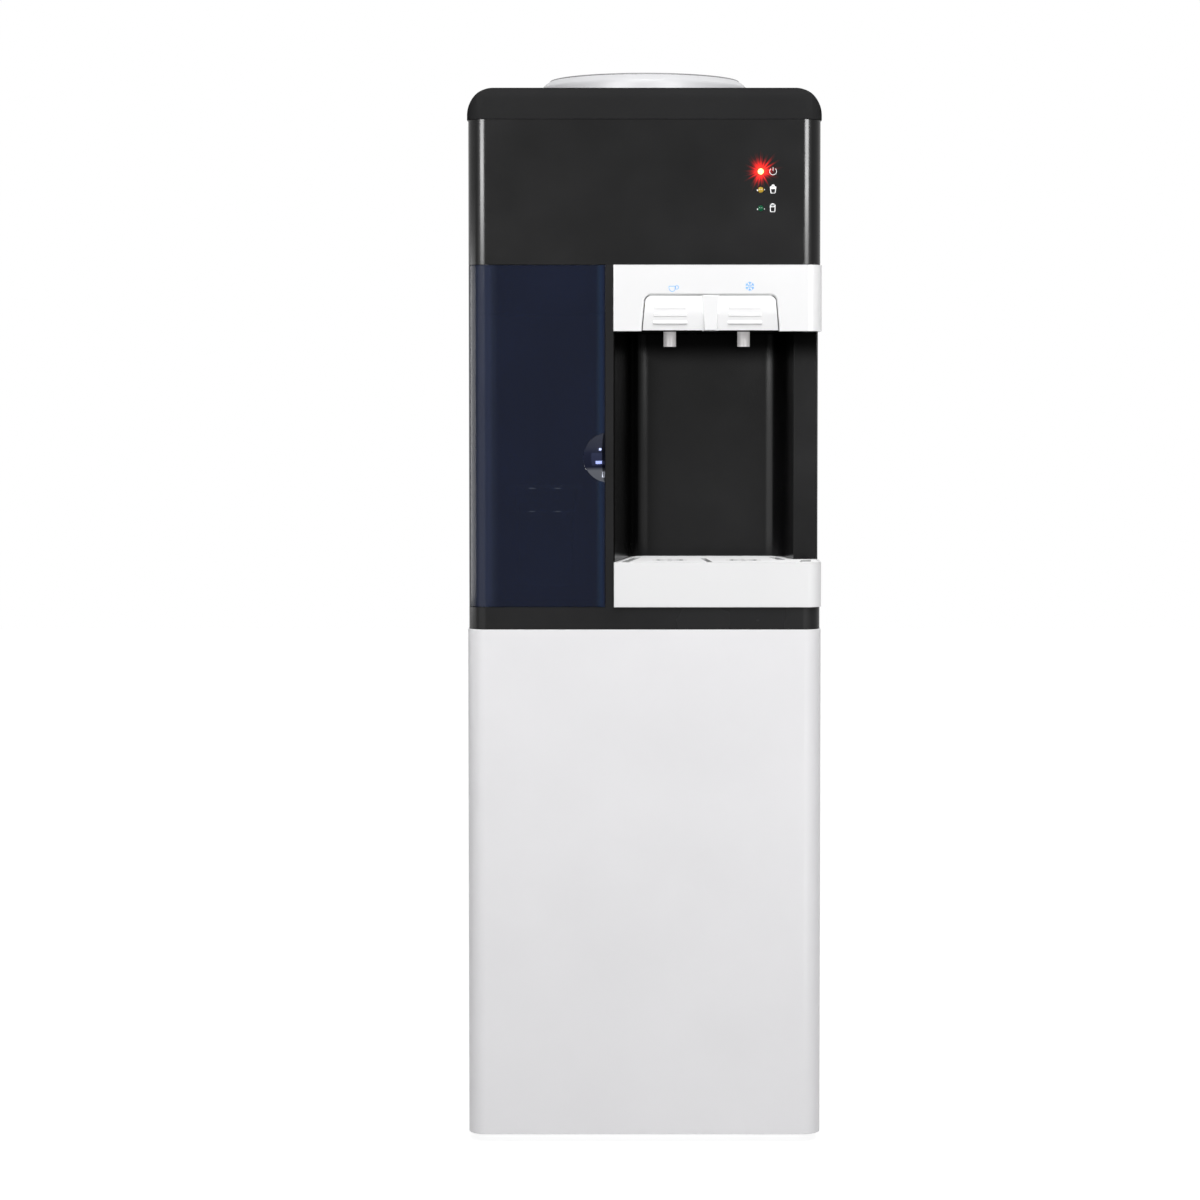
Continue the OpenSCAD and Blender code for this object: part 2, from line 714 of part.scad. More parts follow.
// Turned profile of the seat: collar, funnel, throat and the skirt below the cover.
module bottle_seat() {
    color("whitesmoke") translate([0, 0, z_top]) difference() {
        rotate_extrude($fn = 96) polygon(rounded([
            [skirt_r, 0, 0], [seat_r, 0, 0], [seat_r - 0.5, 13, 8], [seat_r - 7, seat_rise, 6],
            [seat_r - 14, seat_rise - 3, 6], [throat_r + 4, -10, 8],
            [throat_r, -14, 3], [throat_r, -throat_d, 0],
            [probe_r - 3, -throat_d, 0], [probe_r - 3, -throat_d - skin_t, 0],
            [throat_r + skin_t, -throat_d - skin_t, 0], [throat_r + skin_t, -15, 0],
            [skirt_r - skin_t, seat_rise - 8, 0], [skirt_r - skin_t, -18, 0], [skirt_r, -18, 0]], 8));
        for (a = [0 : 60 : 359]) rotate(a) translate([throat_r - 8, 0, -throat_d - skin_t - 1])
            cylinder(r = 2.5, h = skin_t + 2);
    }
}

// Hollow spike that opens the bottle's cap and lets the water down.
module water_probe() {
    z0 = z_top - throat_d;
    color("whitesmoke") difference() {
        union() {
            translate([0, 0, z0]) cylinder(r = probe_r, h = probe_h);
            translate([0, 0, z0 + probe_h]) cylinder(r1 = probe_r, r2 = probe_r - 5, h = 7);
            translate([0, 0, z0]) cylinder(r = probe_r + 5, h = 2);
            translate([0, 0, z0 - skin_t]) cylinder(r = probe_r - 3, h = skin_t + 1);
        }
        translate([0, 0, z0 - 5]) cylinder(r = probe_bore_r, h = probe_h);
        rod_y(0, -probe_r - 1, probe_r + 1, z0 + probe_h - 8, probe_hole_r);
        rod_x(-probe_r - 1, probe_r + 1, 0, z0 + probe_h - 14, probe_hole_r);
    }
}

module alcove_liner() {
    z0 = z_sill - skin_t;
    z1 = z_head + skin_t;
    wall_top = z_head - panel_gap;
    x1 = upper_w / 2 - sheet_t - panel_gap;
    color("black") {
        difference() {
            intersection() {
                translate([0, 0, z0]) linear_extrude(wall_top - z0)
                    polygon(rounded(grown(alcove_outline(upper_y, body_w), skin_t)));
                union() {
                    box(-body_w / 2, x1, liner_front_y, body_d, z_sill, wall_top);
                    box(-body_w / 2, x1, wrap_y + panel_gap, body_d, z0, z_sill + 1);
                }
            }
            translate([0, 0, z_sill]) linear_extrude(z_head - z_sill)
                polygon(rounded(alcove_outline(upper_y, body_w)));
        }
        difference() {
            intersection() {
                translate([0, 0, z_head]) linear_extrude(skin_t)
                    polygon(rounded(grown(alcove_outline(upper_y, body_w), skin_t)));
                box(-body_w / 2, x1, lip_y + panel_gap, body_d, z_head, z1);
            }
            for (side = tap_side) translate([tap_at(side), tap_y, z_head - 1])
                cylinder(r = nozzle_r + 0.2, h = skin_t + 2);
        }
    }
}

module cup_niche_liner() {
    z0 = z_sill - skin_t;
    z1 = niche_z1 + skin_t;
    color("dimgray") {
        difference() {
            intersection() {
                translate([0, 0, z0]) linear_extrude(z1 - z0)
                    polygon(rounded(grown(niche_outline(), skin_t)));
                union() {
                    box(-body_w / 2, 0, niche_front_y, 0, z_sill - 0.5, z1);
                    box(-body_w / 2, 0, wrap_y + panel_gap, 0, z0, z_sill);
                }
            }
            translate([0, 0, z_sill]) linear_extrude(niche_z1 - z_sill) polygon(rounded(niche_outline()));
        }
        box(niche_x0 - skin_t, niche_x1 + skin_t, niche_front_y, niche_front_y + skin_t, niche_z1, z_lintel);
    }
}

module door_plan(inset) {
    front_plan(upper_w - 2 * inset, upper_y + inset, door_axis[1] + door_return + inset, upper_r - inset);
}

module cup_door() {
    dimple_at = [door_x1 + 3, upper_y - dimple_sphere + dimple_d, door_z0 + dimple_z];
    color("midnightblue") difference() {
        union() {
            translate([0, 0, door_z0]) linear_extrude(door_z1 - door_z0) difference() {
                door_plan(0);
                door_plan(door_t);
            }
            for (z = [door_z0, door_z1 - door_t]) translate([door_axis[0], door_axis[1], z]) {
                cylinder(r = upper_r - 0.5, h = door_t);
                translate([0, -upper_r + 0.5, 0]) cube([10, upper_r - 0.5, door_t]);
            }
            intersection() {
                translate(dimple_at) sphere(r = dimple_sphere + skin_t);
                box(-upper_w / 2, 0, upper_y + 0.2, 0, door_z0, door_z1);
            }
        }
        box(door_x1, body_w, -body_d, body_d, 0, z_top);
        translate(dimple_at) sphere(r = dimple_sphere);
        translate([door_axis[0], door_axis[1], door_z0 - 1])
            cylinder(r = door_pin_r + running_gap, h = opening_h + 2);
    }
}

// Steel pins of the cup door and of both paddles.
module hinge_pins() {
    color("silver") {
        for (z = [z_sill - skin_t, door_z1 - door_t - 1]) translate([door_axis[0], door_axis[1], z])
            cylinder(r = door_pin_r, h = skin_t + door_gap + door_t + 1);
        for (side = tap_side) {
            inner = recess_x + side * (divider_w / 2 - 3);
            outer = recess_x + side * (recess_w / 2 - 0.6);
            rod_x(min(inner, outer), max(inner, outer), pivot_y, pivot_z, pin_r);
        }
    }
}

module door_magnet() {
    color("dimgray")
        box(door_x1 - 26, door_x1 - 6, upper_y + door_t + 0.3, upper_y + door_t + 9, z_lintel - 7, z_lintel);
}

// Clear ring on an arm from the niche's rear wall, with two side lugs.
module cup_holder() {
    bore_r = canister_r + panel_gap;
    wall_y = niche_back_y - holder_at[1];
    color("lightblue") translate([holder_at[0], holder_at[1], 0]) difference() {
        union() {
            translate([0, 0, holder_z0]) cylinder(r = bore_r + holder_t, h = holder_h);
            translate([0, 0, holder_z1 - holder_t])
                cylinder(r = bore_r + holder_t + holder_flange, h = holder_t);
            translate([0, 0, holder_z0]) cylinder(r = bore_r + 1.75 * holder_t, h = holder_t);
            rod_x(-bore_r - holder_lug, bore_r + holder_lug, 0, holder_z0 + holder_h / 3, 1.5 * holder_t);
            box(-holder_plate / 2, holder_plate / 2, bore_r, wall_y, holder_z0, holder_z0 + holder_h / 2);
            box(-holder_plate, holder_plate, wall_y - 1.25 * holder_t, wall_y,
                holder_z0 - 2 * holder_t, holder_z1);
        }
        translate([0, 0, holder_z0 - 1]) cylinder(r = bore_r, h = holder_h + 2);
    }
}

module cup_canister() {
    z0 = holder_z1 - canister_l;
    color("aliceblue") translate([holder_at[0], holder_at[1], 0]) difference() {
        union() {
            translate([0, 0, z0]) cylinder(r = canister_r, h = canister_l + 1);
            translate([0, 0, holder_z1]) cylinder(r = canister_r + 2 * canister_t, h = canister_t);
        }
        translate([0, 0, z0 + canister_t]) cylinder(r = canister_r - canister_t, h = canister_l + 5);
    }
}

// White head: a hollow shell round the right corner, with the recess for the paddles.
module dispensing_head() {
    outline = alcove_outline(head_y, body_w / 2, head_r);
    z1 = z_lintel - panel_gap;
    color("white") difference() {
        union() {
            intersection() {
                difference() {
                    translate([0, 0, z_head]) linear_extrude(z1 - z_head) polygon(rounded(outline));
                    translate([0, 0, z_head + skin_t]) linear_extrude(z1 - z_head - 2 * skin_t)
                        polygon(rounded(grown(outline, -skin_t)));
                    box(-stile_x + 1, upper_w / 2 - sheet_t, lip_y, body_d, z_head - 1, z_head + skin_t + 1);
                }
                box(-body_w / 2, body_w / 2, head_y, pillar_y, z_head, z1);
            }
            front_view(head_y + 1, lip_y) difference() {
                polygon(rounded(grown(recess_outline(), 2)));
                translate([0, z_head - 10]) square([2 * body_w, 20], center = true);
            }
        }
        difference() {
            front_view(head_y - 1, lip_y + 1) polygon(rounded(grown(recess_outline(), 0)));
            divider();
        }
        front_view(head_y - 1, lip_y + 1) translate([recess_x - recess_w / 2 + 0.5, z_head - 3])
            square([recess_w - 1, 3.5]);
        rod_x(recess_x - recess_w / 2 - 1, recess_x + recess_w / 2 + 1, pivot_y, pivot_z, pin_r);
    }
}

// Block between the paddles, with a shield-shaped face that narrows downwards.
module divider() {
    x0 = recess_x - divider_w / 2;
    box(x0, x0 + divider_w, head_y + 6, lip_y - 1, z_head + 0.5, z_recess + 1);
    front_view(head_y + 1.2, head_y + 7) polygon(rounded([
        [x0, z_recess + 1, 0], [x0 + 2.5, z_head + 15, 30], [recess_x - 0.8, z_head + 0.5, 0],
        [recess_x + 0.8, z_head + 0.5, 0], [x0 + divider_w - 2.5, z_head + 15, 30],
        [x0 + divider_w, z_recess + 1, 0]], 6));
}

// Push paddle: a curved face with three grip ribs, a barrel on the pin and a lever to the tap.
module tap_paddle(side) {
    inner = recess_x + side * (divider_w / 2 + paddle_gap);
    outer = recess_x + side * recess_w;
    x = tap_at(side);
    y0 = head_y + 1.2;
    top = z_recess - paddle_gap;
    difference() {
        union() {
            intersection() {
                front_view(head_y, lip_y) polygon(rounded(grown(recess_outline(), -paddle_gap)));
                box(min(inner, outer), max(inner, outer), head_y, lip_y, z_head + 0.6, top + 1);
                side_view(0 - body_w, body_w) polygon(rounded([
                    [y0, top + 1, 0], [y0 + 0.4, z_head + 17, 30], [y0 + 6.5, z_head, 0],
                    [y0 + 6.5 + paddle_t, z_head, 0], [y0 + paddle_t, z_head + 17, 28],
                    [y0 + paddle_t, top - paddle_t, 0],
                    [pivot_y, top - paddle_t, 0], [pivot_y, top + 1, 0]]));
            }
            intersection() {
                rod_x(recess_x - recess_w / 2 + 5, recess_x + recess_w / 2 - 5, pivot_y, pivot_z, 3);
                box(min(inner, outer), max(inner, outer), head_y, lip_y, z_head, z_recess);
            }
            for (i = [0 : 2]) rod_x(x - 13.5 - i * 0.6, x + 13.5 + i * 0.6, y0 + 1.6 + 0.5 * i * i,
                z_head + 20.2 - 6.5 * i, 1.2);
            box(x - 3, x + 3, pivot_y, tap_y - 2.6, pivot_z - 1.5, pivot_z + 1.5);
            for (s = [-1, 1]) box(x + s * 4.3 - 1.3, x + s * 4.3 + 1.3, tap_y - 6, pivot_y + lever_l,
                pivot_z - 1.5, pivot_z + 1.5);
            box(x - 5.6, x + 5.6, tap_y - 6, tap_y - 3.6, pivot_z - 1.5, pivot_z + 1.5);
        }
        rod_x(-body_w, body_w, pivot_y, pivot_z, pin_r + running_gap);
    }
}

module tap_paddle_hot() {
    color("white") tap_paddle(-1);
}

module tap_paddle_cold() {
    color("white") tap_paddle(1);
}

// Tap: nozzle, valve chamber with an inlet at the back, and a cage that holds the spring.
module tap_body(side) {
    z0 = z_head + skin_t;
    translate([tap_at(side), tap_y, 0]) difference() {
        union() {
            translate([0, 0, z_head - nozzle_drop]) cylinder(r = nozzle_r, h = nozzle_drop + skin_t + 1);
            translate([0, 0, z0]) cylinder(r = 10, h = pivot_z - 4 - z0);
            for (s = [-1, 1]) box(s * 8.5 - 1.2, s * 8.5 + 1.2, -4, 4, z0 + 1, cage_z + 2);
            box(-9.7, 9.7, -4, 4, cage_z, cage_z + 2);
            rod_y(0, 8, 16, hose_z, hose_r);
        }
        translate([0, 0, z_head - nozzle_drop - 1]) cylinder(r = nozzle_bore_r, h = nozzle_drop + 20);
        translate([0, 0, z0 + 2]) cylinder(r = 8, h = pivot_z - 6 - z0 - 2);
        translate([0, 0, z0 + 5]) cylinder(r = 2.7, h = cage_z - z0);
        rod_y(0, 5, 17, hose_z, hose_r - 1.5);
    }
}

module tap_body_hot() {
    color("white") tap_body(-1);
}

module tap_body_cold() {
    color("white") tap_body(1);
}

// Valve stem: the seal closes the nozzle, and the lever lifts the collar.
module tap_plunger(side) {
    z0 = z_head + skin_t + 2.2;
    translate([tap_at(side), tap_y, 0]) {
        translate([0, 0, z0]) cylinder(r = 6.5, h = 2.5);
        translate([0, 0, z0]) cylinder(r = 2.5, h = pivot_z + 14 - z0);
        translate([0, 0, pivot_z + 1.8]) cylinder(r = 6, h = 1.6);
    }
}

module tap_plunger_hot() {
    color("indianred") tap_plunger(-1);
}

module tap_plunger_cold() {
    color("steelblue") tap_plunger(1);
}

// Compression spring of a tap, as the plain sleeve that it fills.
module tap_spring(side) {
    translate([tap_at(side), tap_y, spring_z]) difference() {
        cylinder(r = 5.2, h = spring_l);
        translate([0, 0, -1]) cylinder(r = 3.2, h = spring_l + 2);
    }
}

module tap_spring_hot() {
    color("silver") tap_spring(-1);
}

module tap_spring_cold() {
    color("silver") tap_spring(1);
}

module drip_tray() {
    outline = tray_outline();
    color("whitesmoke") difference() {
        translate([0, 0, tray_z0]) linear_extrude(tray_h) polygon(rounded(outline));
        translate([0, 0, tray_z0 + skin_t]) linear_extrude(tray_h)
            polygon(rounded(grown(outline, -tray_rim - skin_t)));
        translate([0, 0, tray_z1 - grid_t - 0.2]) linear_extrude(tray_h)
            polygon(rounded(grown(outline, -tray_rim)));
    }
}

// Lift-off grid with drain slots along both sides and target rings below the nozzles.
module drip_grid() {
    outline = grown(tray_outline(), -tray_rim - grid_gap);
    z0 = tray_z1 - grid_t - 0.2;
    color("white") translate([0, 0, z0]) difference() {
        linear_extrude(grid_t) polygon(rounded(outline));
        translate([0, 0, -1]) linear_extrude(grid_t + 2) {
            translate([alcove_x0, 0]) polygon([[5.8, head_y + 6], [12.8, head_y + 6],
                [left_taper + 7.8, alcove_back_y - 22], [left_taper + 1.8, alcove_back_y - 22]]);
            translate([tap_x, 0]) polygon([[0, head_y + 8], [5, head_y + 8], [0, pillar_y + 20],
                [-5, pillar_y + 20]]);
            translate([right_wall_x, 0]) {
                polygon([[-14.6, pillar_y - 6], [-6.6, pillar_y - 6], [-14.6, alcove_back_y - 20],
                    [-20.6, alcove_back_y - 20]]);
                polygon([[3.4, head_y + 16], [13.4, head_y + 16],
                    [15.4, pillar_y - 8], [7.4, pillar_y - 8]]);
            }
        }
        for (side = tap_side) translate([tap_at(side), tap_y, grid_t - 1]) difference() {
            union() {
                cylinder(r = ring_r + 1.5, h = 2);
                for (a = [0, 90]) rotate(a) translate([-ring_r - 4.5, -1.8, 0])
                    cube([2 * ring_r + 9, 3.6, 2]);
            }
            translate([0, 0, -1]) cylinder(r = ring_r - 1.5, h = 4);
        }
    }
}

module led_board() {
    y0 = upper_y + skin_t + 4;
    z0 = z_lintel + led_z - 8;
    color("darkgreen") {
        box(led_x - 14, led_x + 22, y0, y0 + 1.6, z0, z0 + 2 * led_pitch + 16);
        for (x = [led_x - 11, led_x + 19], z = [z0 + 3, z0 + 2 * led_pitch + 13])
            rod_y(x, upper_y + skin_t, y0, z, 2);
    }
}

module indicator(i) {
    rod_y(led_x, upper_y - 0.6, upper_y + skin_t + 4, z_lintel + led_z + i * led_pitch, led_r);
}

module led_cooling() {
    color("limegreen") indicator(0);
}

module led_heating() {
    color("gold") indicator(1);
}

module led_power() {
    color("red") indicator(2);
}

// Sheet shelf between the side panels.
module shelf(y0, z) {
    box(-upper_w / 2 + sheet_t, upper_w / 2 - sheet_t, y0, rear_y - 2 * sheet_t, z, z + sheet_t);
}

module rear_line_holes(z) {
    for (x = [suction_x, capillary_x]) translate([x, rear_run_y, z - 5]) cylinder(r = hose_hole_r, h = 20);
}

module tank_shelf() {
    color("silver") difference() {
        shelf(upper_y + 66, shelf_z);
        rear_line_holes(shelf_z);
        for (p = [feed_at, cold_out_at, drain_out_at]) translate([p[0], p[1], shelf_z - 5])
            cylinder(r = hose_hole_r, h = 20);
    }
}

module mid_shelf() {
    color("silver") difference() {
        shelf(niche_back_y + 14, mid_shelf_z);
        rear_line_holes(mid_shelf_z);
        for (x = [-drain_half, drain_half, end_x])
            translate([x, rear_run_y, mid_shelf_z - 5]) cylinder(r = hose_hole_r, h = 20);
    }
}

module cold_tank() {
    color("silver") difference() {
        union() {
            translate([0, 0, cold_z0]) cylinder(r = cold_r, h = cold_h + sheet_t);
            translate([0, 0, cold_z1]) cylinder(r = cold_r + 20, h = sheet_t);
        }
        translate([0, 0, cold_z0 + tank_t]) cylinder(r = cold_r - tank_t, h = cold_h + 5);
    }
}

module cold_tank_lid() {
    color("whitesmoke") translate([0, 0, lid_z]) difference() {
        cylinder(r = cold_r + 20, h = 1.5);
        translate([0, 0, -1]) cylinder(r = probe_r + 3, h = 4);
    }
}

// Evaporator: close turns of tube soldered round the cold tank.
module evaporator_coil() {
    pitch = 2 * evap_r - 0.4;
    color("darkorange") translate([0, 0, cold_z0 + 20]) difference() {
        for (i = [0 : evap_turns - 1]) translate([0, 0, i * pitch])
            rotate_extrude() translate([cold_r + evap_r, 0]) circle(r = evap_r);
        translate([0, 0, -10]) cylinder(r = cold_r + 0.2, h = cold_h + 20);
    }
}

module foam_half_block(side) {
    difference() {
        box(-foam_half, foam_half, side < 0 ? -foam_half : panel_gap,
            side < 0 ? 0 : foam_half, foam_z0, cold_z1);
        translate([0, 0, cold_z0]) cylinder(r = sleeve_r, h = cold_h + 1);
        for (p = [feed_at, cold_out_at, drain_out_at]) translate([p[0], p[1], foam_z0 - 1])
            cylinder(r = hose_hole_r, h = 20);
        for (x = [suction_x, capillary_x]) rod_y(x, 50, foam_half + 1, cold_z0 + 20, line_r + 1);
    }
}

// Foam block round the cold tank, in a front and a rear half.
module tank_foam() {
    color("lemonchiffon") for (side = [-1, 1]) foam_half_block(side);
}

module hot_tank() {
    color("silver") translate([hot_at[0], hot_at[1], 0]) {
        difference() {
            translate([0, 0, hot_z0]) cylinder(r = hot_r, h = hot_h);
            translate([0, 0, hot_z0 + tank_t]) cylinder(r = hot_r - tank_t, h = hot_h - 2 * tank_t);
        }
        difference() {
            translate([0, 0, mid_shelf_z + sheet_t]) cylinder(r = hot_r - 16, h = stand_h);
            translate([0, 0, mid_shelf_z]) cylinder(r = hot_r - 16 - 2 * tank_t, h = stand_h + 2);
        }
    }
}

module hot_tank_jacket() {
    color("lightgray") difference() {
        translate([hot_at[0], hot_at[1], hot_z0]) cylinder(r = hot_r + jacket_t, h = hot_h + jacket_t);
        translate([hot_at[0], hot_at[1], hot_z0 - 1]) cylinder(r = hot_r + 0.3, h = hot_h + 1.3);
        translate([hot_at[0], hot_at[1], hot_z0]) cylinder(r = hose_hole_r, h = hot_h + 20);
        rod_x(hot_at[0] - hot_r - jacket_t - 1, hot_at[0], hot_at[1], hot_z0 + 15, hose_hole_r);
        rod_y(hot_at[0], hot_at[1], hot_at[1] + hot_r + jacket_t + 1, hot_z0 + 15, hose_hole_r);
    }
}

// Silicone hoses: cold water, hot water, the feed to the hot tank, and both drains.
module water_hoses() {
    tap_in_y = tap_y + 16;
    cold_x = tap_at(1);
    hot_tap_x = tap_at(-1);
    feed_x = hot_at[0] - hot_r - jacket_t - 12;
    spout_y = rear_y - spout_back;
    color("white") {
        pipe([[cold_out_at[0], cold_out_at[1], cold_z0], [cold_out_at[0], cold_out_at[1], hose_z],
            [cold_x, alcove_back_y - 15, hose_z], [cold_x, tap_in_y, hose_z]], hose_r);
        pipe([[hot_at[0], hot_at[1], hot_z0 + hot_h], [hot_at[0], hot_at[1], hose_z],
            [hot_tap_x, alcove_back_y + 15, hose_z], [hot_tap_x, tap_in_y, hose_z]], hose_r);
        pipe([[feed_at[0], feed_at[1], cold_z0], [feed_at[0], feed_at[1], hose_z + 2],
            [feed_x, hot_at[1], hose_z - 20], [feed_x, hot_at[1], hot_z0 + 15],
            [hot_at[0] - hot_r, hot_at[1], hot_z0 + 15]], hose_r);
        pipe([[drain_out_at[0], drain_out_at[1], cold_z0], [drain_out_at[0], drain_out_at[1], hose_z + 2],
            [-drain_half, rear_run_y, hose_z - 20], [-drain_half, rear_run_y, drain_z],
            [-drain_half, spout_y, drain_z]], hose_r);
        pipe([[hot_at[0], hot_at[1] + hot_r, hot_z0 + 15], [hot_at[0], rear_run_y, hot_z0 + 15],
            [drain_half, rear_run_y, hot_z0 - 4], [drain_half, rear_run_y, drain_z],
            [drain_half, spout_y, drain_z]], hose_r);
    }
}

module compressor() {
    z0 = plate_z + 2;
    lip = 4;
    seam_z = compressor_h / 2 - lip;
    color("black") translate([compressor_at[0], compressor_at[1], 0]) {
        difference() {
            translate([-grommet_half - 12, -grommet_half - 6, plate_z])
                cube([2 * grommet_half + 24, 2 * grommet_half + 12, 2]);
            at_grommets() translate([0, 0, plate_z - 1]) cylinder(r = 3, h = 5);
        }
        translate([0, 0, z0 - 0.5]) rotate_extrude($fn = 96) polygon(rounded([
            [0, 0, 0], [compressor_r - 14, 0, 0], [compressor_r, 10, 14], [compressor_r, seam_z, 0],
            [compressor_r + lip, seam_z, 0], [compressor_r + lip, seam_z + lip, 0],
            [compressor_r, seam_z + lip, 0],
            [compressor_r - 1, compressor_h, 34], [0, compressor_h, 0]], 8));
    }
}

module at_grommets() {
    for (x = [-1, 1], y = [-1, 1]) translate([x * grommet_half, y * grommet_half, 0]) children();
}

module compressor_grommets() {
    color("dimgray") translate([compressor_at[0], compressor_at[1], bay_z]) at_grommets() {
        cylinder(r = 9, h = grommet_h);
        cylinder(r = 2.8, h = grommet_h + 6);
    }
}

module relay_box() {
    x0 = compressor_at[0] + compressor_r - 6;
    color("black") difference() {
        box(x0, x0 + 30, compressor_at[1] - 20, compressor_at[1] + 20, plate_z + 20, plate_z + 60);
        translate([compressor_at[0], compressor_at[1], 0]) cylinder(r = compressor_r, h = 2 * compressor_h);
    }
}

function run_z(i) = condenser_z + i * condenser_pitch;

// Serpentine condenser tube behind the rear panel.
module condenser_tube() {
    color("black") translate([0, condenser_y, 0]) {
        for (i = [0 : condenser_runs - 1])
            rod_x(-condenser_half, condenser_half, 0, run_z(i), condenser_r);
        for (i = [0 : condenser_runs - 2]) {
            side = i % 2 == 0 ? 1 : -1;
            translate([side * condenser_half, 0, run_z(i) + condenser_pitch / 2])
                rotate([90, 0, 0]) rotate(side > 0 ? -90 : 90)
                    rotate_extrude(angle = 180) translate([condenser_pitch / 2, 0]) circle(r = condenser_r);
        }
    }
}

// Wires on both sides of the runs; those at the brackets end above and below them.
module condenser_wires() {
    reach = condenser_r + wire_r - 0.2;
    keep = bracket_h / 2 + 2;
    color("black") for (i = [-10 : 10], s = [-1, 1]) {
        over = abs(abs(i * wire_pitch) - bracket_x) < bracket_w / 2 + wire_r + 1 ? -keep : wire_over;
        translate([i * wire_pitch, condenser_y + s * reach, condenser_z - over])
            cylinder(r = wire_r, h = condenser_z1 - condenser_z + 2 * over);
    }
}

module condenser_brackets() {
    color("dimgray") for (s = [-1, 1], z = [condenser_z, condenser_z1]) difference() {
        box(s * bracket_x - bracket_w / 2, s * bracket_x + bracket_w / 2, rear_y, rear_y + condenser_room,
            z - bracket_h / 2, z + bracket_h / 2);
        rod_x(-body_w, body_w, condenser_y, z, condenser_r);
    }
}

// Copper lines: suction, capillary with its drier, and the hot gas line to the condenser.
module refrigerant_lines() {
    z_evap = cold_z0 + 20;
    z_low = plate_z + 50;
    evap_y = sqrt(pow(cold_r + 2 * evap_r, 2) - suction_x * suction_x) - 0.4;
    drier_z = condenser_z + 20;
    y = rear_run_y;
    color("darkorange") {
        pipe([[suction_x, evap_y, z_evap], [suction_x, y, z_evap], [suction_x, y, z_low],
            [suction_x, compressor_at[1] + compressor_r - 6, z_low]], line_r);
        pipe([[capillary_x, evap_y, z_evap], [capillary_x, y, z_evap], [capillary_x, y, drop_z],
            [capillary_x, condenser_y, drop_z], [end_x, condenser_y, drop_z],
            [end_x, condenser_y, condenser_z],
            [-condenser_half, condenser_y, condenser_z]], line_r);
        translate([capillary_x, y, drier_z]) cylinder(r = drier_r, h = 80);
        pipe([[compressor_at[0] - compressor_r + 4, compressor_at[1], z_low],
            [end_x, compressor_at[1] + 8, z_low], [end_x, y, z_low + 20], [end_x, y, condenser_z1],
            [end_x, condenser_y, condenser_z1], [-condenser_half, condenser_y, condenser_z1]], line_r);
    }
}

// Panel inlet for a detachable lead, with three blades.
module power_inlet() {
    color("black") translate([socket_x, rear_y, inlet_z]) {
        difference() {
            union() {
                plate_box(inlet_w, inlet_h, 0, flange_t);
                plate_box(inlet_w - 6.4, inlet_h - 6, -inlet_d, 1);
            }
            plate_box(inlet_w - 10.4, inlet_h - 10, -inlet_d + 5, flange_t + 1);
        }
    }
    color("silver") for (p = [[0, 3], [-7, -2], [7, -2]])
        translate([socket_x + p[0], rear_y, inlet_z + p[1]]) box(-1, 1, -inlet_d + 4.5, -6, -2, 2);
}

module switch_bezel() {
    color("black") translate([socket_x, rear_y, switch_z]) difference() {
        union() {
            plate_box(bezel_w, bezel_h, 0, flange_t);
            plate_box(bezel_w - 7.6, bezel_h - 6.4, -16, 1);
        }
        for (s = [-1, 1]) translate([s * 12, 0, 0]) plate_box(rocker_w + 0.8, rocker_h + 4, -20, 5);
        rod_x(-21, 21, -7, 0, pin_r + running_gap);
    }
}

// Rocker, tilted to its on side.
module rocker(side) {
    translate([socket_x + side * 12, rear_y - 7, switch_z]) rotate([rocker_swing / 2, 0, 0]) {
        side_view(-rocker_w / 2, rocker_w / 2)
            polygon([[-5, -6], [8.2, -rocker_h / 2], [6.6, 0], [8.2, rocker_h / 2], [-5, 6]]);
        rod_x(-rocker_w / 2 - 1.8, rocker_w / 2 + 1.8, 0, 0, pin_r);
    }
}

module switch_hot() {
    color("red") rocker(-1);
}

module switch_cold() {
    color("limegreen") rocker(1);
}

// Drain spouts with their flanges.
module drain_fittings() {
    color("whitesmoke") for (side = [-1, 1]) translate([side * drain_half, rear_y, drain_z]) difference() {
        union() {
            rod_y(0, -spout_back, drain_l, 0, drain_r);
            rod_y(0, 0, flange_t, 0, drain_r + drain_flange);
        }
        rod_y(0, -spout_back - 1, drain_l + 1, 0, drain_bore_r);
    }
}

// Cap over a drain spout, with a grip rim.
module drain_cap(side) {
    translate([side * drain_half, rear_y, drain_z]) difference() {
        union() {
            rod_y(0, flange_t + panel_gap, drain_l + cap_t + panel_gap, 0, drain_r + cap_t);
            rod_y(0, drain_l - flange_t, drain_l + cap_t + panel_gap, 0, drain_r + 1.5 * cap_t);
        }
        rod_y(0, flange_t, drain_l + panel_gap, 0, drain_r + running_gap);
    }
}

module drain_cap_hot() {
    color("indianred") drain_cap(1);
}

module drain_cap_cold() {
    color("steelblue") drain_cap(-1);
}

base_pan();
feet();
lower_front_panel();
lower_side_left();
lower_side_right();
upper_side_left();
upper_side_right();
rear_panel();
compressor_cover();
panel_screws();
front_frame();
upper_front_panel();
top_cover();
bottle_seat();
water_probe();
alcove_liner();
cup_niche_liner();
cup_door();
hinge_pins();
door_magnet();
cup_holder();
cup_canister();
dispensing_head();
tap_paddle_hot();
tap_paddle_cold();
tap_body_hot();
tap_body_cold();
tap_plunger_hot();
tap_plunger_cold();
tap_spring_hot();
tap_spring_cold();
drip_tray();
drip_grid();
led_board();
led_power();
led_heating();
led_cooling();
tank_shelf();
cold_tank();
cold_tank_lid();
evaporator_coil();
tank_foam();
mid_shelf();
hot_tank();
hot_tank_jacket();
water_hoses();
compressor();
compressor_grommets();
relay_box();
condenser_tube();
condenser_wires();
condenser_brackets();
refrigerant_lines();
power_inlet();
switch_bezel();
switch_hot();
switch_cold();
drain_fittings();
drain_cap_hot();
drain_cap_cold();
